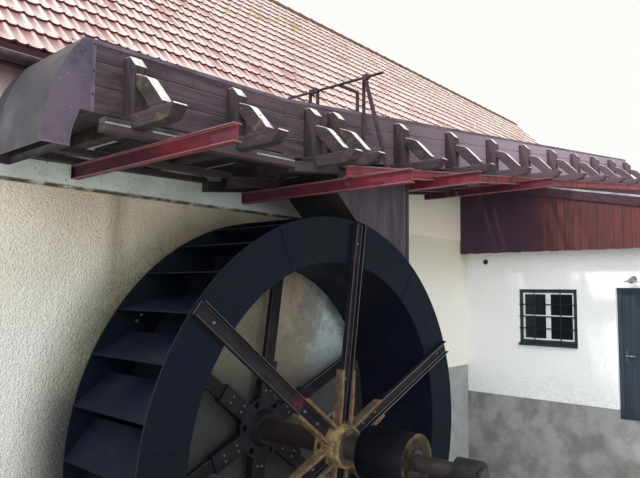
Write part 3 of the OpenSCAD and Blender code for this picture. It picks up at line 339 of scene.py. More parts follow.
vent = bmesh.new()
ring = ops.create_circle(vent, segments=24, radius=0.046)["verts"]
for edge_radius, depth in ((0.036, -0.004), (0.034, 0), (0.03, 0.004)):
    ring = verts_of(ops.extrude_edge_only(vent, edges=edges_among(vent, ring))["geom"])
    shrink = edge_radius / ring[0].co.length
    ops.scale(vent, vec=(shrink, shrink, 1), verts=ring)
    move(vent, (0, 0, depth), ring)
ops.contextual_create(vent, geom=edges_among(vent, ring))
for v in vent.verts:
    if v.co.xy.length > 0.04:
        v.co.z += 0.002
swing(vent, -pi / 2, "Y")
move(vent, (vent_x - 0.004, vent_y, vent_z))
ops.recalc_face_normals(vent, faces=vent.faces)


def put(name, shape, body, finish, smooth=None):
    """Turns a bmesh into a piece that rides on a body; smooth is the angle up to which faces
    are shaded as one."""
    mesh = bpy.data.meshes.new(name)
    shape.to_mesh(mesh)
    shape.free()
    mesh.materials.append(finish)
    if smooth:
        mesh.shade_smooth()
        mesh.set_sharp_from_angle(angle=radians(smooth))
    made = bpy.data.objects.new(name, mesh)
    scene.collection.objects.link(made)
    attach(made, body)
    return made


dark_clay = new_finish("dark_clay", 0.9)
paint(mixed(clouds(60, 4), (28, 24, 22), (86, 62, 52)))
relief(clouds(140, 3), 0.002)
put("vent_pipe", vent, "mill", dark_clay)


# Floors: worn cement screed on the ground floor and in the annex, and a loft floor of wide
# planks across the beams.
screed = new_finish("screed", 0.85)
paint(mottled((138, 132, 122), (92, 88, 82), 0.35, 0.68, 1.6, 7, 0.6),
    (between(clouds(40, 3), 0.6, 0.7), (72, 70, 66)))
relief(clouds(30, 5), 0.004)
dress(screed, "ground_floor", "annex_floor")


def wood(name, dark, light, grain=2, worn=None, roughness=0.82, boards=None, depth=0.0025):
    """Sawn timber: long grain along axis 0, 1 or 2, pores, knots, and a lighter tone where the face
    looks up, partly wear and partly painted sunlight. boards gives the width of a board and the
    axis across the boards."""
    made = new_finish(name, roughness)
    spot = place()
    if boards:
        width, axis = boards
        number = figure("FLOOR", figure("DIVIDE", along_axis(axis), width))
        shift = add("TexWhiteNoise", noise_dimensions="1D", W=number)
        spot = add("VectorMath", operation="MULTIPLY_ADD", i0=shift.outputs[1], i1=(7, 7, 7),
            i2=spot).outputs[0]
    stretched, knot_spot = (add("Mapping", Vector=spot, Scale=[along if axis == grain else across
        for axis in range(3)]).outputs[0] for along, across in ((1.3, 22), (1.1, 5)))
    bent = add("TexNoise", Vector=stretched, Scale=1, Detail=7, Roughness=0.66, Distortion=0.5).outputs[
        0]
    pores = add("TexNoise", Vector=stretched, Scale=5.5, Detail=3).outputs[0]
    knots = add("TexVoronoi", Vector=knot_spot, Scale=1.3).outputs[0]
    layers = [(between(pores, 0.62, 0.7, 0, 0.5), shade(dark, 0.45)),
        (between(knots, 0.13, 0.07, 0, 0.7), shade(dark, 0.35))]
    if boards:
        layers.append((times(shift.outputs[0], 0.45), shade(dark, 0.55)))
    if worn:
        layers.append((times(between(faces(2), 0.25, 0.7), between(bent, 0.3, 0.55, 0.55, 1)), worn))
    relief(figure("ADD", bent, times(pores, 0.35)), depth)
    paint(mixed(between(bent, 0.34, 0.66), dark, light), *layers)
    return made


loft_planks = wood("loft_planks", (104, 84, 62), (150, 126, 96), grain=0, boards=(0.22, 1))
dress(loft_planks, "loft_floor")


# Roof: machine-pressed interlocking clay tiles, each with two troughs, a rib between them and
# a roll that laps the next tile. They hang in rows on battens, over boarded rafters.
roof_x0, roof_l, ridge_z = house_x0 - 0.25, 22.8, eaves_z - eaves_y + ridge_y
columns, rows, row_y = 97, 19, 0.2318
column_w = roof_l / columns
slab = new_finish("tile_bed", 0.9)
below = figure("SUBTRACT", figure("SUBTRACT", ridge_z, apart(along_axis(1), ridge_y)), along_axis(2))
rafters = mixed(clouds(1, 5, 0.6, Scale=(1.5, 20, 20)), (58, 40, 34), (92, 68, 56))
paint(mixed(between(below, 0.066, 0.072), mixed(clouds(5, 5), (48, 28, 32), (70, 40, 42)), rafters))
relief(clouds(24, 4), 0.003)
dress(slab, "front_roof", "back_roof")

tile = bmesh.new()
profile = ((0, 5), (9, 14), (23, 19), (38, 15), (50, 5), (66, 1), (98, 1), (112, 5), (121, 12),
    (131, 12), (140, 5), (156, 1), (206, 0), (235.05, 5))
last = None
for across_mm, height_mm in profile:
    spot = tile.verts.new((across_mm / 1000, 0, 0.026 + height_mm / 1000))
    if last:
        tile.edges.new((last, spot))
    last = spot
front_edge = list(tile.verts)
lip = ops.extrude_edge_only(tile, edges=tile.edges[:])["geom"]
move(tile, (0, 0, -0.024), verts_of(lip))
run = ops.extrude_edge_only(tile, edges=edges_among(tile, front_edge))["geom"]
move(tile, (0, row_y * sqrt(2) + 0.004, -0.024), verts_of(run))
swing(tile, pi / 4, "X")
move(tile, (roof_x0, tile_end_y, eaves_z + tile_end_y - eaves_y))


def repeat(shape, count, step):
    """Copies all of a mesh along a step, so many times over."""
    made = 1
    while made < count:
        more = min(made, count - made)
        share = shape.faces[:len(shape.faces) * more // made]
        verts = {v for f in share for v in f.verts}
        edges = {e for f in share for e in f.edges}
        copy = ops.duplicate(shape, geom=list(verts) + list(edges) + share)["geom"]
        move(shape, Vector(step) * made, verts_of(copy))
        shape.faces.ensure_lookup_table()
        made += more


def all_of(shape):
    return shape.verts[:] + shape.edges[:] + shape.faces[:]


def face_up(shape):
    """Turns the faces of an open shell to the sky."""
    ops.recalc_face_normals(shape, faces=shape.faces)
    if sum(f.normal.z for f in shape.faces) < 0:
        ops.reverse_faces(shape, faces=shape.faces)


tile.faces.ensure_lookup_table()
repeat(tile, columns, (column_w, 0, 0))
repeat(tile, rows, (0, row_y, row_y))
face_up(tile)
back_tile = tile.copy()
ops.mirror(back_tile, geom=all_of(back_tile), matrix=Matrix.Translation((0, ridge_y, 0)).inverted(),
    axis="Y", merge_dist=-1)
ops.delete(back_tile, geom=[f for f in back_tile.faces if f.calc_center_median().y < ridge_y],
    context="FACES")

clay = new_finish("clay_tiles", 0.85)
from_ridge = apart(along_axis(1), ridge_y)
row_number = figure("FLOOR", figure("DIVIDE", figure("SUBTRACT", ridge_y - tile_end_y + 0.001,
    from_ridge), row_y))
column_number = figure("FLOOR", figure("DIVIDE", figure("ADD", along_axis(0), -roof_x0 - 0.001),
    column_w))
tile_number = add("CombineXYZ", i0=column_number, i1=row_number)
batch = add("TexWhiteNoise", noise_dimensions="2D", Vector=tile_number.outputs[0]).outputs[0]
tile_tone = layered(mixed(batch, (222, 207, 200), (204, 180, 172)),
    (between(batch, 0.88, 0.98), (186, 150, 142)),
    (between(clouds(7, 5, 0.65), 0.42, 0.7, 0, 0.6), (216, 207, 198)))
# The troughs and the laps are painted darker than the ribs, and the faces that turn from the sky darker
# still, as painted shade.
above_bed = figure("ADD", figure("SUBTRACT", along_axis(2), ridge_z), from_ridge)
tile_tone = layered(tile_tone,
    (between(above_bed, 0.034, 0.008, 0, 0.75), (138, 74, 72)),
    (between(faces(2), 0.52, 0.15), (93, 32, 36)))
moss = times(between(clouds(3.4, 6, 0.7), 0.53, 0.64), between(from_ridge, 4, 0.8, 0, 0.95))
paint(tile_tone, (moss, (157, 141, 82)), (between(clouds(11, 4), 0.69, 0.74), (82, 66, 46)))
relief(clouds(90, 4), 0.002)
put("front_tiles", tile, "mill", clay, smooth=50)
put("back_tiles", back_tile, "mill", clay, smooth=50)


# Ridge: half-round clay caps laid in mortar, each lapping the next by a thumb's width under a
# raised collar.
caps = 60
cap_l = roof_l / caps
cap = bmesh.new()
ops.create_cone(cap, cap_ends=False, segments=24, radius1=0.104, radius2=0.113, depth=cap_l - 0.045)
collar = ops.create_cone(cap, cap_ends=False, segments=24, radius1=0.113, radius2=0.1195,
    depth=0.055)["verts"]
move(cap, (0, 0, cap_l / 2), collar)
ops.extrude_edge_only(cap, edges=[e for e in cap.edges if e.is_boundary
    and all(v.co.z > cap_l / 2 + 0.02 for v in e.verts)])
end_ring = [v for v in cap.verts if v.co.z > cap_l / 2 + 0.02 and v not in collar]
ops.scale(cap, vec=(0.88, 0.88, 1), verts=end_ring)
swing(cap, -pi / 2, "Y")
ops.bisect_plane(cap, geom=all_of(cap), plane_co=(0, 0, -0.02), plane_no=(0, 0, -1), clear_outer=True)
face_up(cap)
move(cap, (roof_x0 + cap_l / 2 + 0.012, ridge_y, ridge_z - 0.06))
cap.faces.ensure_lookup_table()
repeat(cap, caps, (cap_l - 0.0005, 0, 0))
ridge_clay = new_finish("ridge_clay", 0.85)
paint(mottled((116, 81, 72), (83, 60, 54), 0.4, 0.65, 5, 6, 0.6),
    (between(clouds(14, 4), 0.6, 0.68), (116, 108, 74)))
relief(clouds(70, 4), 0.003)
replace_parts(put("ridge_caps", cap, "mill", ridge_clay, smooth=50), "ridge_tiles")


# Roof boards: fascias along the eaves, verge boards up the gables and the barge boards of the
# lean-to, of planed spruce stained dark brown.
stained = wood("stained_boards", (50, 31, 41), (76, 49, 59), grain=0, worn=(98, 72, 78))
dress(stained, "roof_boards")


# Gutters: half-round sheet channels painted brown, with a rolled bead along the front rim and
# flat hooks nailed to the fascia every 70 cm. The bead is coloured pale grey as a painted highlight
# along the rim.
gutter_r, gutter_z = 0.065, 5.98
roof_x1 = roof_x0 + roof_l
gutter_runs = ((roof_x0, 4.947, 1), (11.627, roof_x1, 1), (roof_x0, roof_x1, -1))
beads, hooks = bmesh.new(), bmesh.new()
for run_x0, run_x1, side in gutter_runs:
    rim_y = tile_end_y - gutter_r + 0.0085
    bead = ops.create_cone(beads, cap_ends=True, segments=10, radius1=0.008, radius2=0.008,
        depth=run_x1 - run_x0 - 0.01)["verts"]
    swing(beads, pi / 2, "Y", bead)
    rim_y = rim_y if side > 0 else 2 * ridge_y - rim_y
    move(beads, ((run_x0 + run_x1) / 2, rim_y, gutter_z - 0.001), bead)
    steps = int((run_x1 - run_x0) / 0.7)
    for i in range(steps):
        hook_x = run_x0 + 0.2 + i * (run_x1 - run_x0 - 0.4) / (steps - 1)
        start = [hooks.verts.new((hook_x + dx, 0, 0.0006 - gutter_r - dz))
            for dx, dz in ((-0.013, 0), (0.013, 0), (0.013, 0.003), (-0.013, 0.003))]
        face = hooks.faces.new(start)
        swing(hooks, radians(-74), "X", start)
        ops.spin(hooks, geom=[face] + list(face.edges) + start, cent=(hook_x, 0, 0), axis=(1, 0, 0),
            steps=10, angle=radians(148), use_merge=False)
        grown = {v for v in hooks.verts if abs(v.co.x - hook_x) < 0.02 and v.co.z < 1}
        middle_y = tile_end_y if side > 0 else 2 * ridge_y - tile_end_y
        move(hooks, (0, middle_y, gutter_z), list(grown))
ops.recalc_face_normals(hooks, faces=hooks.faces)
gutter_paint = new_finish("gutter_paint", 0.5)
paint(mottled((58, 41, 49), (88, 70, 76), 0.5, 0.66, 6, 6, 0.65))
relief(clouds(20, 3), 0.001)
bead_highlight_paint = new_finish("bead_highlight_metal", 0.45, 0.3)
paint(mixed(clouds(18, 4), (132, 123, 126), (181, 175, 177)))
dress(gutter_paint, "gutters")
put("gutter_beads", beads, "mill", bead_highlight_paint, smooth=40)
put("gutter_hooks", hooks, "mill", gutter_paint)


# Windows: a fixed frame with a sloping sill, painted dark green, two white casements with one
# glazing bar each, clear panes, and an iron grille of round bars let into the reveals.
sash_z, leaf_x = 3.25, 0.2176
window_places = [(5.277, -1.703, sash_z, -90), (6.782, -4.35, sash_z, 0), (9.792, -4.35, sash_z, 0),
    (house_x0, ridge_y, 6.4, -90), (house_x1, ridge_y, 6.4, 90)]
window_places += [(house_x0 + i * 22.3 / 6, 8.15, sash_z, 180) for i in range(1, 6)]
window_places += [(x, y, sash_z, turn) for y in (1.85, 6.05)
    for x, turn in ((house_x0, -90), (house_x1, 90))]


def bar(shape, low, high):
    """Adds a rectangular bar between two corners and returns its vertices."""
    low, high = Vector(low), Vector(high)
    return ops.create_cube(shape, size=1, matrix=Matrix.Translation((low + high) / 2)
        @ Matrix.Diagonal(high - low).to_4x4())["verts"]


def rod(shape, start, end, radius, segments=8, tip=None):
    """Adds a round rod from one point to another, tapered to a tip radius where that is given."""
    start, end = Vector(start), Vector(end)
    lay = (end - start).to_track_quat("Z", "Y").to_matrix().to_4x4()
    lay = Matrix.Translation((start + end) / 2) @ lay
    ops.create_cone(shape, cap_ends=True, segments=segments, radius1=radius, radius2=tip or radius,
        depth=(end - start).length, matrix=lay)


def ease(shape, width, segments=1, corner=30):
    """Takes the sharpness off the edges that turn by more than the given angle."""
    sharp = [e for e in shape.edges if e.is_manifold and e.calc_face_angle() > radians(corner)]
    ops.bevel(shape, geom=sharp, offset=width, offset_type="OFFSET", segments=segments, affect="EDGES",
        profile=0.5, material=-1, clamp_overlap=True)


def at_windows(shape):
    """Copies a mesh drawn at a sill's middle to every window, and drops the first one."""
    whole = bmesh.new()
    for x, y, z, turn in window_places:
        copy = shape.copy()
        ops.transform(copy, verts=copy.verts, matrix=Matrix.Translation((x, y, z))
            @ Matrix.Rotation(radians(turn), 4, "Z"))
        flat = bpy.data.meshes.new("window_copy")
        copy.to_mesh(flat)
        copy.free()
        whole.from_mesh(flat)
        bpy.data.meshes.remove(flat)
    shape.free()
    return whole


joinery_green = new_finish("joinery_green", 0.45)
paint(mottled((33, 49, 49), (63, 76, 70), 0.56, 0.66, 9, 7, 0.7))
relief(clouds(16, 4, 0.6, Scale=(1, 1, 3)), 0.0012)
dress(joinery_green, "window_frames")

joinery_white = new_finish("joinery_white", 0.4)
paint(mottled((232, 234, 234), (190, 188, 180), 0.55, 0.7, 14, 6, 0.7))
relief(clouds(40, 3), 0.0006)
dress(joinery_white, "casements")
glazing = bmesh.new()
for side in (-1, 1):
    middle = side * leaf_x
    bar(glazing, (middle - 0.181, 0.037, 0.446), (middle + 0.181, 0.055, 0.472))
    bar(glazing, (middle - 0.181, 0.06, 0.448), (middle + 0.181, 0.076, 0.47))
bar(glazing, (-0.014, 0.029, 0.047), (0.014, 0.036, 0.853))
ease(glazing, 0.002)
put("glazing_bars", at_windows(glazing), "mill", joinery_white)
rebate = bmesh.new()
for x0, x1, z0, z1 in ((-0.462, -0.421, 0, 0.9), (0.421, 0.462, 0, 0.9), (-0.421, 0.421, 0.841, 0.882),
        (-0.421, 0.421, 0.02, 0.059)):
    bar(rebate, (x0, 0.022, z0), (x1, 0.0345, z1))
ease(rebate, 0.003)
put("frame_beads", at_windows(rebate), "mill", joinery_green)

pane = new_finish("window_pane", 0.04)
paint((34, 38, 44))
plug("IOR", 1.5)
plug("Alpha", 0.72)
plug("Roughness", between(clouds(7, 5), 0.3, 0.8, 0.02, 0.14))
relief(clouds(2.4, 2), 0.0008)
dress(pane, "window_glass")

wrought = new_finish("wrought_iron", 0.6, 0.3)
paint(mottled((25, 23, 29), (52, 40, 40), 0.54, 0.7, 20, 6, 0.7))
relief(clouds(60, 4), 0.0015)
grille = bmesh.new()
for height in (0.247, 0.445, 0.645):
    rod(grille, (-0.49, 0.009, height), (0.49, 0.009, height), 0.01)
for side in (-1, 1):
    rod(grille, (side * leaf_x, -0.004, -0.002), (side * leaf_x, -0.004, 0.902), 0.009)
put("window_grilles", at_windows(grille), "mill", wrought, smooth=50)


# Boarding of the lean-to gables: upright spruce boards with eased edges, nailed under the
# verge, painted red-brown, with a brighter red away from the wall as painted light and a dark
# purple near the wall as painted shadow of the flume.
board_w, boards_y1 = 0.1231, -0.27
slope_x, annex_y0 = tan(radians(11.3)), -4.7
lean_y, lean_z = -1.851, 5.825
boarding_mesh = bmesh.new()
for gable_x in (4.999, 11.549):
    for i in range(36):
        y0 = annex_y0 + i * board_w
        dip = 0.004 * sin(i * 2.3 + gable_x)
        bar(boarding_mesh, (gable_x, y0 + 0.0012, 4.769 + dip),
            (gable_x + 0.026, min(y0 + board_w - 0.0012, boards_y1), 6.2))
ease(boarding_mesh, 0.002)
roof_under = Vector((0, lean_y, lean_z - 0.1235))
ops.bisect_plane(boarding_mesh, geom=all_of(boarding_mesh), plane_co=roof_under,
    plane_no=Vector((0, -slope_x, 1)).normalized(), clear_outer=True)
ops.holes_fill(boarding_mesh, edges=[e for e in boarding_mesh.edges if e.is_boundary], sides=0)
red_boards = wood("red_boards", (64, 28, 35), (100, 44, 43), boards=(board_w, 1), roughness=0.6,
    depth=0.0018)


def repaint(*layers):
    """Lays more tones over those that the finish in work has."""
    paint(tree.nodes["Principled BSDF"].inputs["Base Color"].links[0].from_socket, *layers)


# Painted light and shade: brighter red on the boards far from the wall, dark purple painted shadow of
# the flume near it.
repaint((between(along_axis(1), -2.5, -4.2, 0, 0.3), (150, 72, 60)),
    (between(along_axis(1), -2, -1.3, 0, 0.85), (51, 31, 54)))
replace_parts(put("boarding", boarding_mesh, "mill", red_boards), "annex_boarding")


# Lean-to roof: bitumen sheet on boards, in lapped runs 0.9 m wide, with a zinc trim folded over
# the verge.
sheet_felt = new_finish("roofing_sheet", 0.8)
laps = figure("FRACT", figure("DIVIDE", along_axis(1), 0.9))
paint(mottled((104, 100, 98), (70, 70, 66), 0.38, 0.66, 1.6, 7, 0.65),
    (between(laps, 0.03, 0.012), (40, 40, 40)),
    (between(clouds(5, 6), 0.6, 0.68), (96, 104, 66)))
relief(figure("ADD", laps, times(clouds(120, 2), 0.4)), 0.004)
dress(sheet_felt, "annex_roof")


def scuff(value, low, high):
    """Roughness from low to high, where a value goes from 0.3 to 0.7."""
    plug("Roughness", between(value, 0.3, 0.7, low, high))


def zinc_finish(name, light, dark, roughness=0.42):
    """Sheet metal that has weathered unevenly, with runs down it."""
    made = new_finish(name, roughness, 0.35)
    weather = clouds(3, 8, 0.62)
    runs = between(clouds(5, 5, 0.7, Scale=(4, 4, 0.4)), 0.6, 0.74, 0, 0.5)
    paint(mixed(between(weather, 0.36, 0.66), light, dark), (runs, shade(dark, 0.4)))
    scuff(weather, roughness - 0.08, roughness + 0.22)
    relief(clouds(7, 4), 0.002)
    return made


zinc = zinc_finish("zinc_trim", (182, 178, 176), (136, 132, 134))
verge_trim = bmesh.new()
for x0, x1, lip_x in ((4.9695, 5.05, 4.9695), (11.524, 11.6045, 11.6025)):
    for low_x, high_x, top_d, low_d in ((x0, x1, 0.0015, 0), (lip_x, lip_x + 0.002, 0, -0.028)):
        verts = bar(verge_trim, (low_x, annex_y0, low_d), (high_x, -0.61, top_d))
        for v in verts:
            v.co.z += lean_z + (v.co.y - lean_y) * slope_x
put("verge_trim", verge_trim, "mill", zinc)


# Door: upright tongued boards in a plain frame, painted petrol blue, hung on two strap hinges
# inside, with a lever on a long plate.
door_paint = wood("door_paint", (33, 45, 56), (42, 58, 69), boards=(0.119, 1), roughness=0.45,
    depth=0.0012)
dress(door_paint, "door_frame")
leaf_low, leaf_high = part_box("door_leaf")
leaf_boards = bmesh.new()
leaf_w = (leaf_high.y - leaf_low.y) / 7
for i in range(7):
    bar(leaf_boards, (leaf_low.x, leaf_low.y + i * leaf_w, leaf_low.z),
        (leaf_high.x, leaf_low.y + (i + 1) * leaf_w, leaf_high.z))
ease(leaf_boards, 0.004)
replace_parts(put("door_boards", leaf_boards, "annex_door", door_paint), "door_leaf")
forged = new_finish("forged_black", 0.5, 0.7)
paint(mottled((34, 33, 34), (88, 56, 42), 0.5, 0.68, 30, 5))
relief(clouds(50, 4), 0.0012)
dress(forged, "door_straps", "door_pintles")
brushed = new_finish("brushed_steel", 0.35, 0.9)
paint((112, 114, 118))
scuff(clouds(60, 4), 0.22, 0.42)
relief(clouds(40, 3, 0.5, Scale=(1, 12, 1)), 0.0004)
dress(brushed, "door_handle")


# Lamp over the door: an enamelled iron shade, grey-white and chipped at the rim, on a short
# iron bracket.
enamel = new_finish("lamp_enamel", 0.3)
paint(mottled((116, 117, 116), (89, 89, 85), 0.5, 0.7, 24, 5, 0.6),
    (between(clouds(60, 4), 0.68, 0.73), (45, 35, 29)))
relief(clouds(30, 2), 0.0006)
dress(enamel, "wall_lamp")


# Flume: a trough of larch planks, three to a side, spiked to the posts, with open gaps where
# they have shrunk. A folded strip of sheet caps the near side's upper edge.
flume_near, flume_far, plank_t = -1.515, -0.795, 0.05
flume_x0, joint_x, flume_x1 = -2.705, -0.78, 11
bracket_xs = [-2.43, -1.44, -0.45] + [-0.09 + 1.208 * i for i in range(10)]


def tail_top(x):
    return 5.933 + (x - joint_x) * tan(radians(1.43))


def head_top(x):
    return 5.931 + (x - joint_x) * tan(radians(6.82))


def flume_top(x):
    return tail_top(x) if x < joint_x else head_top(x)


def follow(verts, top):
    """Lifts vertices drawn level onto the slope of a flume section."""
    for v in verts:
        v.co.z += top(v.co.x)


def plank_side(shape, y0, y1):
    """Three rows of planks on the tail and on the head, with their butt joints staggered."""
    rows_of = ((flume_x0, joint_x - 0.0005, tail_top, (0, 0.158, 0.338, 0.534)),
        (joint_x, flume_x1, head_top, (0, 0.186, 0.378, 0.57)))
    for x0, x1, top, depths in rows_of:
        for row in range(3):
            cuts = [x0]
            while top is head_top and cuts[-1] + 3.2 + row * 0.7 < x1 - 1.5:
                cuts.append(cuts[-1] + 3.2 + row * 0.7 + 0.4 * sin(len(cuts) * 2.1))
            cuts.append(x1)
            for i in range(len(cuts) - 1):
                inset = 0.0016 * (1 + sin(i * 1.7 + row * 2.9))
                low_x = cuts[i] + (0.0015 if i else 0)
                low_z = -depths[row + 1] + (0.005 if row < 2 else 0)
                verts = bar(shape, (low_x, y0 + inset, low_z), (cuts[i + 1] - 0.0015, y1 - inset,
                    -depths[row]))
                follow(verts, top)


larch = wood("larch_planks", (58, 44, 52), (88, 70, 78), grain=0, worn=(150, 138, 138), roughness=0.85,
    depth=0.004)
repaint((times(between(clouds(2.2, 6, 0.65), 0.52, 0.66), 0.55), (40, 31, 38)),
    (between(clouds(0.7, 5, 0.6, Scale=(0.6, 1, 3)), 0.58, 0.72, 0, 0.35), (112, 90, 92)),
    (between(along_axis(0), -0.5, 6, 0, 0.92), (176, 155, 168)))
near_planks, far_planks = bmesh.new(), bmesh.new()
plank_side(near_planks, flume_near, flume_near + plank_t)
plank_side(far_planks, flume_far - plank_t, flume_far)
for planks in (near_planks, far_planks):
    ease(planks, 0.004)
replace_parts(put("near_planks", near_planks, "mill", larch), "flume_near_side")
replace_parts(put("far_planks", far_planks, "mill", larch), "flume_far_side")
soaked = wood("soaked_boards", (38, 34, 41), (58, 52, 57), grain=0, worn=(92, 84, 83), roughness=0.55,
    boards=(0.155, 1), depth=0.003)
dress(soaked, "flume_floor", "gate_leaf")


def head(shape, spot, out, radius, segments=6, tip=None):
    """Adds a bolt or rivet head that stands out along Y from a spot."""
    rod(shape, spot, Vector(spot) + Vector((0, out, 0)), radius, segments, tip)


nails = bmesh.new()
for x in bracket_xs:
    for depth in (0.05, 0.23, 0.43):
        for dx in (-0.085, 0.085):
            spot = (x + dx, flume_near - 0.0015, flume_top(x + dx) - depth)
            head(nails, spot, 0.0055, 0.0065)
put("plank_spikes", nails, "mill", wrought)

cap_zinc = zinc_finish("cap_zinc", (112, 98, 112), (84, 72, 84), 0.5)
cap_strip = bmesh.new()
for x0, x1, top in ((flume_x0, joint_x - 0.002, tail_top), (joint_x + 0.001, flume_x1, head_top)):
    lengths = max(1, int((x1 - x0) / 1.9))
    for i in range(lengths):
        low_x = x0 + i * (x1 - x0) / lengths
        high_x = x0 + (i + 1) * (x1 - x0) / lengths + (0.02 if i < lengths - 1 else 0)
        lift = 0.0008 * (i % 2)
        follow(bar(cap_strip, (low_x, flume_near - 0.0025, 0), (high_x, flume_near + plank_t + 0.002,
            0.002 + lift)), top)
        follow(bar(cap_strip, (low_x, flume_near - 0.0025 - lift, -0.03), (high_x, flume_near - 0.0005,
            0.0015)), top)
put("cap_strip", cap_strip, "mill", cap_zinc)


# Brackets: a squared sill under the flume, a post against its side with a weathered slanting
# head, and a grown knee between the two. Moss keeps to the shaded sides, and the upper faces are
# painted near white as painted sunlight.
def copied(node, width=0, segments=1, corner=30):
    """The mesh of a solid of the frame, with its doubles merged, its flat faces whole and, where
    a width is given, its edges eased."""
    shape = bmesh.new()
    shape.from_mesh(nodes[node].data)
    ops.remove_doubles(shape, verts=shape.verts, dist=0.0002)
    ops.dissolve_limit(shape, angle_limit=radians(0.8), verts=shape.verts, edges=shape.edges)
    if width:
        ease(shape, width, segments, corner)
    return shape


def mossy(name, grain, share):
    """Weathered timber, bleached far from the wheel and mossy near its water, with its upper faces
    painted near white as painted sunlight.
    """
    made = wood(name, (39, 29, 35), (59, 47, 51), grain=grain, worn=(240, 231, 224), roughness=0.9,
        depth=0.005)
    over_land = along_axis(0)
    near_water = between(over_land, 2.2, -0.3, share * 0.2, share)
    dry = times(between(over_land, 0.8, 7, 0, 0.75), between(faces(2), 0.5, 0.2))
    repaint((dry, (110, 88, 96)),
        (times(between(clouds(6, 7, 0.68), 0.52, 0.64), near_water), (94, 88, 64)),
        (times(between(clouds(17, 5, 0.7), 0.62, 0.7), near_water), (52, 48, 36)))
    return made


for node, name, grain, share, width in (("flume_sills", "mossy_sills", 1, 0.5, 0.007),
    ("bracket_posts", "mossy_posts", 2, 0.2, 0.006),
    ("knee_braces", "mossy_knees", 1, 0.8, 0.006)):
    timber = copied(node, width, 2, 20)
    finish = mossy(name, grain, share)
    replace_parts(put("worn_" + node, timber, "mill", finish, smooth=35), node)


# Walkway boards and rails: dark wet softwood under the flume, a grey outer rail that the
# weather reaches, and over it the ribbed sheet that packs the sills off the rail.
walk_wood = wood("walkway_wood", (34, 30, 38), (54, 48, 54), grain=0, worn=(110, 100, 96),
    roughness=0.6, boards=(0.17, 1), depth=0.003)
dress(walk_wood, "walkway_boards")
rail_wood = wood("rail_wood", (40, 33, 36), (58, 49, 51), grain=0, worn=(136, 126, 119), roughness=0.65)
grey_rail = mixed(clouds(2, 6, 0.6, Scale=(1, 16, 16)), (51, 38, 43), (76, 61, 67))
repaint((between(along_axis(1), -1.5, -1.56), grey_rail))
rails = copied("timber_rails", 0.004, corner=40)
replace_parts(put("worn_rails", rails, "mill", rail_wood), "timber_rails")
block_wood = wood("packing_wood", (84, 70, 62), (120, 104, 92), grain=1, worn=(160, 148, 134))
dress(block_wood, "roof_blocks")

ribbed = bmesh.new()
runs = []
stops = [flume_x0 + 0.002] + [e for x in bracket_xs[:5] for e in (x - 0.062, x + 0.062)]
for x0, x1 in zip(stops[0::2], stops[1::2]):
    if x0 < joint_x < x1:
        runs += [(x0, joint_x - 0.002), (joint_x + 0.002, x1)]
    else:
        runs.append((x0, x1))
runs = [(x0, x1) for x0, x1 in runs if x1 < 1.15]
for x0, x1 in runs:
    top = tail_top if x1 < joint_x else head_top
    foot = 0.639 if x1 < joint_x else 0.675
    for y0, low, high in ((-1.668, 0.002, 0.013), (-1.662, 0.013, 0.019), (-1.668, 0.019, 0.029),
            (-1.662, 0.029, 0.035), (-1.668, 0.035, 0.046)):
        follow(bar(ribbed, (x0, y0, low - foot), (x1, -1.585, high - foot)), top)
rib_zinc = zinc_finish("rib_zinc", (101, 94, 103), (60, 52, 61), 0.5)
put("ribbed_packing", ribbed, "mill", rib_zinc)
rail_cap = bmesh.new()
for x0, x1 in ((-2.702, -2.5), (-2.32, -2.06), (-1.27, -0.79)):
    follow(bar(rail_cap, (x0, -1.675, -0.6402), (x1, -1.6725, -0.6265)), tail_top)
put("rail_cap", rail_cap, "mill", zinc)


# Steel beams: rolled I-sections painted with red oxide, dusty on top and rusting where the paint
# has lifted. A pale painted highlight runs along the flange edges, and towards the wall, under the
# flume, the oxide is painted a purple shade.
oxide = new_finish("red_oxide", 0.5)
tilt = figure("ABSOLUTE", faces(2))
flange_highlight_share = times(between(tilt, 0.25, 0.55), between(tilt, 0.97, 0.85, 0.15, 1))
paint(mottled((124, 35, 49), (86, 27, 44), 0.36, 0.66, 2.4, 7, 0.6),
    (between(along_axis(1), -1.7, -0.8, 0, 0.55), (62, 42, 68)),
    (between(clouds(15, 6, 0.7), 0.6, 0.7, 0, 0.8), (65, 37, 41)),
    (between(clouds(4, 5, 0.7, Scale=(1, 1, 0.5)), 0.62, 0.7, 0, 0.5), (44, 32, 43)),
    (between(along_axis(0), 4.8, 7, 0, 0.85), (148, 40, 57)),
    (flange_highlight_share, (181, 130, 130)))
scuff(clouds(9, 5), 0.4, 0.7)
relief(clouds(26, 6, 0.65), 0.0022)
for node, name in (("cantilever_beams", "worn_beams"), ("long_beam", "worn_long_beam")):
    section = copied(node, 0.0025, corner=60)
    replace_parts(put(name, section, "mill", oxide), node)

clamps = bmesh.new()
for beam_x in (-0.17, 1.42, 3.82):
    beam_z = tail_top(beam_x - 0.037) - 0.6903 if beam_x < joint_x else (head_top(beam_x - 0.037)
        - 0.7853 + (0.048 if beam_x > 1.4 else 0))
    for bolt_y in ((-1.64, -1.6) if beam_x < joint_x else (-1.87, -1.84)):
        for dx in (-0.024, 0.024):
            rod(clamps, (beam_x + dx, bolt_y, beam_z - 0.024), (beam_x + dx, bolt_y, beam_z - 0.009),
                0.011, segments=6)
put("beam_bolts", clamps, "mill", wrought)

# Weather boards close the wedge between the annex roof and the long beam; their dark maroon is
# painted shade, standing for the shaded strip under the beam.
wedge = bmesh.new()
for k in range(5):
    x0, x1 = 5.02 + k * 1.19, 6.206 + k * 1.19
    for v in bar(wedge, (x0, -1.937, 0), (x1, -1.917, 1)):
        low = 5.26 + (v.co.y - annex_y0) * slope_x
        v.co.z = low if v.co.z < 0.5 else 5.205 + (v.co.x + 0.244) * 0.1196
wedge_shade_wood = wood("shade_wedge_boards", (48, 19, 30), (70, 26, 38), grain=0, roughness=0.8)
put("shade_wedge_boards", wedge, "mill", wedge_shade_wood)


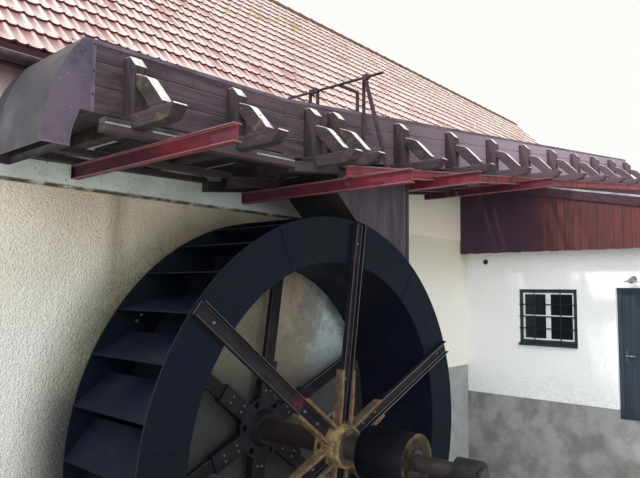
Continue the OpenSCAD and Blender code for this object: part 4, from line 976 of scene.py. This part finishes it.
# Overflow hood: two cheeks and two curved sheets of galvanised steel, folded and riveted, which
# turn the spilling water down at the flume's open end.
hood = copied("overflow_hood")
ops.triangulate(hood, faces=[f for f in hood.faces if len(f.verts) > 60])
hood_steel = zinc_finish("hood_steel", (80, 79, 85), (66, 64, 69), 0.45)
cheek_tone = layered(mottled((96, 84, 99), (74, 65, 77), 0.38, 0.64, 3, 8, 0.6),
    (between(clouds(34, 4), 0.68, 0.74), (150, 144, 150)))
repaint((between(figure("ABSOLUTE", faces(1)), 0.6, 0.9), cheek_tone))
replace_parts(put("hood_sheets", hood, "mill", hood_steel, smooth=25), "overflow_hood")

hood_trim, hood_rivets = bmesh.new(), bmesh.new()
hood_x0, hood_w, hood_top_z, curve_r = flume_x0 - 0.365, 1.015, tail_top(flume_x0), 0.9
for cheek_y, out in ((flume_near, -1), (flume_near + hood_w, 1)):
    y_pair = sorted((cheek_y, cheek_y + out * 0.0025))
    bar(hood_trim, (flume_x0 - 0.031, y_pair[0], hood_top_z - 0.534), (flume_x0 - 0.001, y_pair[1],
        hood_top_z - 0.003))
    bar(hood_trim, (hood_x0, y_pair[0], 5.074), (flume_x0 - 0.165, y_pair[1], 5.088))
    for rivet_z in (5.847, 5.651, 5.479):
        head(hood_rivets, (flume_x0 - 0.016, cheek_y, rivet_z), out * 0.008, 0.0105, 10, 0.005)
    middle = Vector((hood_x0 + 0.2 + curve_r - 0.012, 0, 5))
    for i in range(22):
        turn0, turn1 = (radians(180 - 1.75 * (i + k)) for k in (0, 1.04))
        points = [middle + Vector((cos(t), 0, sin(t))) * (curve_r + 0.003) for t in (turn0, turn1)]
        for p in points:
            p.y = cheek_y + out * 0.002
        if 5.09 < points[0].z and points[1].z < hood_top_z - 0.537 and points[1].x < flume_x0:
            rod(hood_trim, points[0], points[1], 0.0045, 6)
put("hood_trim", hood_trim, "mill", cap_zinc)
put("hood_rivets", hood_rivets, "mill", wrought, smooth=40)


# Feed box: riveted plates between the second and third beam that lead the water down on to
# the wheel, with an angle iron up the near corner; wet, brown with rust and scale. The plate beyond
# the corner iron is painted lighter as painted light, and the inclined plate before it keeps the
# darker tone as painted shade.
feed = copied("feed_box")
scaled_iron = new_finish("scaled_iron", 0.55, 0.35)
feed_x = along_axis(0)
rust_runs = clouds(2.2, 8, 0.68, Scale=(2.6, 2.6, 0.45))
paint(mixed(between(rust_runs, 0.38, 0.64), (67, 59, 67), (49, 42, 49)),
    (between(clouds(30, 5, 0.7), 0.6, 0.68, 0, 0.45), (87, 77, 74)),
    (between(feed_x, 1.334, 1.34), mixed(rust_runs, (52, 37, 37), (77, 54, 47))),
    (between(feed_x, 1.376, 1.382), (119, 107, 107)))
scuff(rust_runs, 0.38, 0.72)
relief(clouds(22, 7, 0.7), 0.003)
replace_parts(put("feed_plates", feed, "mill", scaled_iron, smooth=25), "feed_box")
box_rivets = bmesh.new()
for i in range(9):
    head(box_rivets, (1.36, flume_near - 0.008, 4.48 + i * 0.13), -0.007, 0.0095, 8, 0.0045)
put("feed_rivets", box_rivets, "mill", wrought, smooth=40)


# Sluice gate: a trestle and a stand of flat iron carry the round shaft, whose arm holds the
# plank that shuts the feed opening. Brown with rust all over.
rusty_bar = new_finish("rusty_bar", 0.6, 0.5)
paint(mottled((52, 41, 50), (80, 60, 62), 0.42, 0.62, 12, 7, 0.7))
relief(clouds(40, 6, 0.7), 0.002)
dress(rusty_bar, "gate_frame", "gate_shaft")


# Water wheel: two shroud rings, a sole and bent bucket plates of steel, riveted together,
# painted nearly black and always wet, with lime and green slime drying on them.
wheel_r, sole_r, ring_t = 2.3, 1.841, 0.012
wheel_front, wheel_back = -1.568, -0.462
spoke_angles = [radians(22 + 60 * i) for i in range(6)]

wet_steel = new_finish("wet_steel", 0.42, gloss=0.06)
slime = clouds(1.5, 8, 0.62)
paint(mixed(between(slime, 0.4, 0.66), (23, 25, 40), (31, 35, 44)),
    (between(clouds(8, 7, 0.7), 0.58, 0.72, 0, 0.3), (57, 54, 69)),
    (between(clouds(3, 5, 0.6, Scale=(1, 6, 1)), 0.6, 0.72, 0, 0.4), (40, 35, 44)))
scuff(slime, 0.32, 0.62)
relief(clouds(18, 6, 0.65), 0.0025)
dress(wet_steel, "wheel_sole", "buckets")


def shaft_distance():
    """How far a point lies from the shaft's axis."""
    return add("VectorMath", operation="LENGTH", i0=place(Location=(0, 0, -shaft_z),
        Scale=(1, 0, 1))).outputs["Value"]


ring_steel = new_finish("ring_steel", 0.42, gloss=0.06)
from_shaft = shaft_distance()
ring_slime = clouds(1.3, 8, 0.62)
# A faint painted highlight runs along the inner and outer edges of the rings.
rim_highlight = figure("MAXIMUM", between(from_shaft, wheel_r - 0.0035, wheel_r - 0.0008),
    between(from_shaft, sole_r + 0.0035, sole_r + 0.0008))
paint(mixed(between(ring_slime, 0.38, 0.66), (16, 21, 33), (19, 25, 30)),
    (between(clouds(7, 7, 0.7), 0.6, 0.72, 0, 0.4), (35, 40, 47)),
    (times(rim_highlight, 0.35), (52, 55, 63)))
scuff(ring_slime, 0.34, 0.6)
relief(clouds(12, 6, 0.65), 0.003)
for node, low_y in (("front_shroud", wheel_front), ("back_shroud", wheel_back - ring_t)):
    ring_plate = bmesh.new()
    section = ops.create_grid(ring_plate, x_segments=1, y_segments=1, size=0.5)["verts"]
    for v in section:
        v.co = (sole_r + (v.co.x + 0.5) * (wheel_r - sole_r), low_y + (v.co.y + 0.5) * ring_t, shaft_z)
    ops.bevel(ring_plate, geom=ring_plate.verts[:], offset=0.0025, offset_type="OFFSET", segments=1,
        affect="VERTICES", profile=0.5, material=-1)
    outline = ring_plate.edges[:]
    ops.delete(ring_plate, geom=ring_plate.faces[:], context="FACES_ONLY")
    ops.spin(ring_plate, geom=outline + ring_plate.verts[:], cent=(0, 0, shaft_z), axis=(0, 1, 0),
        steps=192, angle=2 * pi, use_merge=True)
    ops.remove_doubles(ring_plate, verts=ring_plate.verts, dist=0.0001)
    ops.recalc_face_normals(ring_plate, faces=ring_plate.faces)
    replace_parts(put("ring_" + node, ring_plate, "wheel", ring_steel, smooth=25), node)


def on_wheel(radius, angle, y, across=0):
    """A point of the wheel at a radius and an angle, moved sideways by across."""
    return Vector((radius * cos(angle) - across * sin(angle), y,
        shaft_z + radius * sin(angle) + across * cos(angle)))


rivets = bmesh.new()
for face_y, out in ((wheel_front, -1), (wheel_back, 1)):
    for angle in spoke_angles:
        seam = angle + radians(30)
        for side in (-0.045, 0.045):
            for k in range(5):
                spot = on_wheel(sole_r + 0.05 + k * 0.09, seam, face_y, side)
                head(rivets, spot, out * 0.007, 0.0125, 8, 0.006)
    for i in range(32):
        root = radians(i * 360 / 32)
        for reach, lead in ((0.04, 0), (0.15, 0), (0.3, -3), (0.4, -6.5)):
            spot = on_wheel(sole_r + reach, -root + radians(-lead), face_y)
            head(rivets, spot, out * 0.006, 0.0105, 6, 0.005)
put("ring_rivets", rivets, "wheel", ring_steel, smooth=40)
straps = bmesh.new()
for face_y, out in ((wheel_front, -1), (wheel_back, 1)):
    for angle in spoke_angles:
        verts = bar(straps, (sole_r + 0.012, face_y if out > 0 else face_y - 0.005, -0.004),
            (wheel_r - 0.012, face_y + 0.005 if out > 0 else face_y, 0.004))
        swing(straps, -angle - radians(30), "Y", verts)
        move(straps, (0, 0, shaft_z), verts)
put("ring_seams", straps, "wheel", ring_steel)


# Spokes: rolled channels with their webs on the rings, bolted to the rings and to the hubs.
# The flange edges carry a pale painted highlight, stronger towards the right where the sun falls.
channel_steel = new_finish("channel_steel", 0.5, gloss=0.2)
# One foot has been mended, and its red priming shows.
priming = add("VectorMath", operation="DISTANCE", i0=place(), i1=(-0.6, -1.59, 3.05)).outputs["Value"]
channel_turn = figure("ABSOLUTE", faces(1))
spoke_edge_highlight = times(between(channel_turn, 0.35, 0.55), between(channel_turn, 0.92, 0.8))
paint(mottled((23, 21, 29), (40, 33, 37), 0.38, 0.66, 4, 8, 0.65),
    (between(clouds(16, 6, 0.7), 0.58, 0.7, 0, 0.7), (47, 36, 36)),
    (times(between(priming, 0.1, 0.03), between(clouds(20, 5), 0.35, 0.5)), (92, 38, 43)),
    (times(spoke_edge_highlight, between(along_axis(0), 0.15, 0.7, 0.35, 0.9)), (129, 121, 119)))
scuff(clouds(9, 5), 0.36, 0.68)
relief(clouds(30, 6, 0.7), 0.0022)
for node in ("front_spokes", "back_spokes"):
    channels = copied(node, 0.0034, corner=60)
    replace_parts(put("worn_" + node, channels, "wheel", channel_steel), node)

limed = new_finish("limed_bolts", 0.6)
paint(mixed(clouds(50, 4), (77, 71, 71), (136, 134, 134)))
relief(clouds(120, 3), 0.001)
bolts = bmesh.new()
for angle in spoke_angles:
    for radius in (0.42, 0.65, 2.065):
        front = on_wheel(radius, angle, wheel_front - 0.009)
        head(bolts, front, -0.012, 0.0135)
        head(bolts, front, -0.02, 0.0075)
    for side in (-0.036, 0.036):
        for radius in (0.41, 0.6):
            back = on_wheel(radius, angle, wheel_back - 0.024, side)
            head(bolts, back, -0.013, 0.0125)
        back = on_wheel(2.065, angle, wheel_back - ring_t, side)
        head(bolts, back, -0.012, 0.0125)
put("spoke_bolts", bolts, "wheel", limed)


# Hubs: cast spiders with a round nose and a channel socket for each spoke. The outer one is
# crusted ochre with rust and lime, with a pale painted highlight on its edges; the one by the wall
# is dark and wet.
crusted = new_finish("crusted_casting", 0.85)
hub_spot = shaft_distance()
crust_cloud = clouds(9, 8, 0.7)
nose_tone = layered(mixed(between(crust_cloud, 0.4, 0.6), (86, 74, 60), (42, 38, 38)),
    (times(between(hub_spot, 0.165, 0.195), between(crust_cloud, 0.6, 0.45, 0.2, 0.9)), (150, 124, 78)))
crusted_turn = figure("ABSOLUTE", faces(1))
casting_edge_highlight = times(between(crusted_turn, 0.2, 0.45), between(crusted_turn, 0.97, 0.85))
paint(mixed(between(crust_cloud, 0.36, 0.62), (111, 90, 61), (72, 54, 40)),
    (between(clouds(22, 6, 0.7), 0.58, 0.68, 0, 0.8), (42, 32, 30)),
    (between(clouds(3, 4), 0.6, 0.68, 0, 0.6), (102, 54, 39)),
    (times(casting_edge_highlight, 0.8), (206, 182, 128)),
    (between(hub_spot, 0.216, 0.206), nose_tone))
relief(figure("ADD", crust_cloud, clouds(40, 5, 0.7)), 0.005)
dark_cast = new_finish("dark_casting", 0.55, gloss=0.25)
paint(mottled((19, 22, 29), (36, 33, 36), 0.42, 0.64, 6, 7, 0.65))
relief(clouds(26, 6, 0.7), 0.003)
for node, finish, slot_name in (("front_hub", crusted, "rusty_cast"),
        ("back_hub", dark_cast, "dark_cast")):
    casting = copied(node, 0.004, 2, 40)
    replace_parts(put("cast_" + node, casting, "wheel", finish, smooth=35), node)


# Shaft, belt drum and bearings: a forged shaft, rust-brown and damp, a painted drum with slime
# on its outer end, a plummer block on the pier and a flanged bush in the wall.
forging = new_finish("forged_shaft", 0.5, 0.2)
paint(mottled((54, 45, 44), (34, 29, 32), 0.38, 0.64, 5, 8, 0.65, Scale=(1, 0.5, 1)))
relief(clouds(34, 6, 0.65), 0.0025)
dress(forging, "wheel_shaft")
drum_paint = new_finish("drum_paint", 0.45, gloss=0.15)
drum_tone = mottled((7, 8, 15), (14, 15, 20), 0.42, 0.66, 5, 7, 0.65)
drum_spot = shaft_distance()
end_tone = layered(mottled((52, 44, 28), (16, 17, 13), 0.4, 0.62, 14, 7, 0.7),
    (times(between(drum_spot, 0.205, 0.24), between(clouds(9, 6), 0.42, 0.6)), (88, 78, 46)))
paint(mixed(between(faces(1), -0.5, -0.8), drum_tone, end_tone))
relief(clouds(30, 6, 0.65), 0.003)
drum = copied("belt_drum", 0.006, 2, 50)
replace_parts(put("drum", drum, "wheel", drum_paint, smooth=35), "belt_drum")
dress(dark_cast, "outer_bearing", "wall_bearing")
bearing_bolts = bmesh.new()
for side in (-0.205, 0.205):
    for y in (-3.085, -2.955):
        rod(bearing_bolts, (side, y, 2.38), (side, y, 2.404), 0.02, 6)
        rod(bearing_bolts, (side, y, 2.404), (side, y, 2.425), 0.011, 8)
for k in range(6):
    spot = on_wheel(0.182, radians(15 + 60 * k), -0.3)
    head(bearing_bolts, spot, -0.012, 0.011)
put("bearing_bolts", bearing_bolts, "mill", dark_cast)


# Pier: coursed sandstone blocks in wide joints, each course shifted by half a block, and green
# where the wheel throws water on them.
courses = new_finish("pier_stone", 0.9)
joint_place = add("TexBrick", Vector=place(Rotation=(pi / 2, 0, 0)), offset=0.5, Scale=1,
    i1=(138, 128, 112), i2=(112, 104, 92), i3=(86, 82, 76), i5=0.012, i8=0.42, i9=0.21)
paint(mixed(between(clouds(5, 8, 0.68), 0.38, 0.66), joint_place.outputs[0], (92, 88, 78)),
    (between(clouds(2.4, 6), 0.52, 0.64, 0, 0.8), (72, 82, 48)))
relief(figure("ADD", clouds(18, 7, 0.7), times(joint_place.outputs[1], -1.2)), 0.01)
dress(courses, "pier")

bpy.context.view_layer.update()
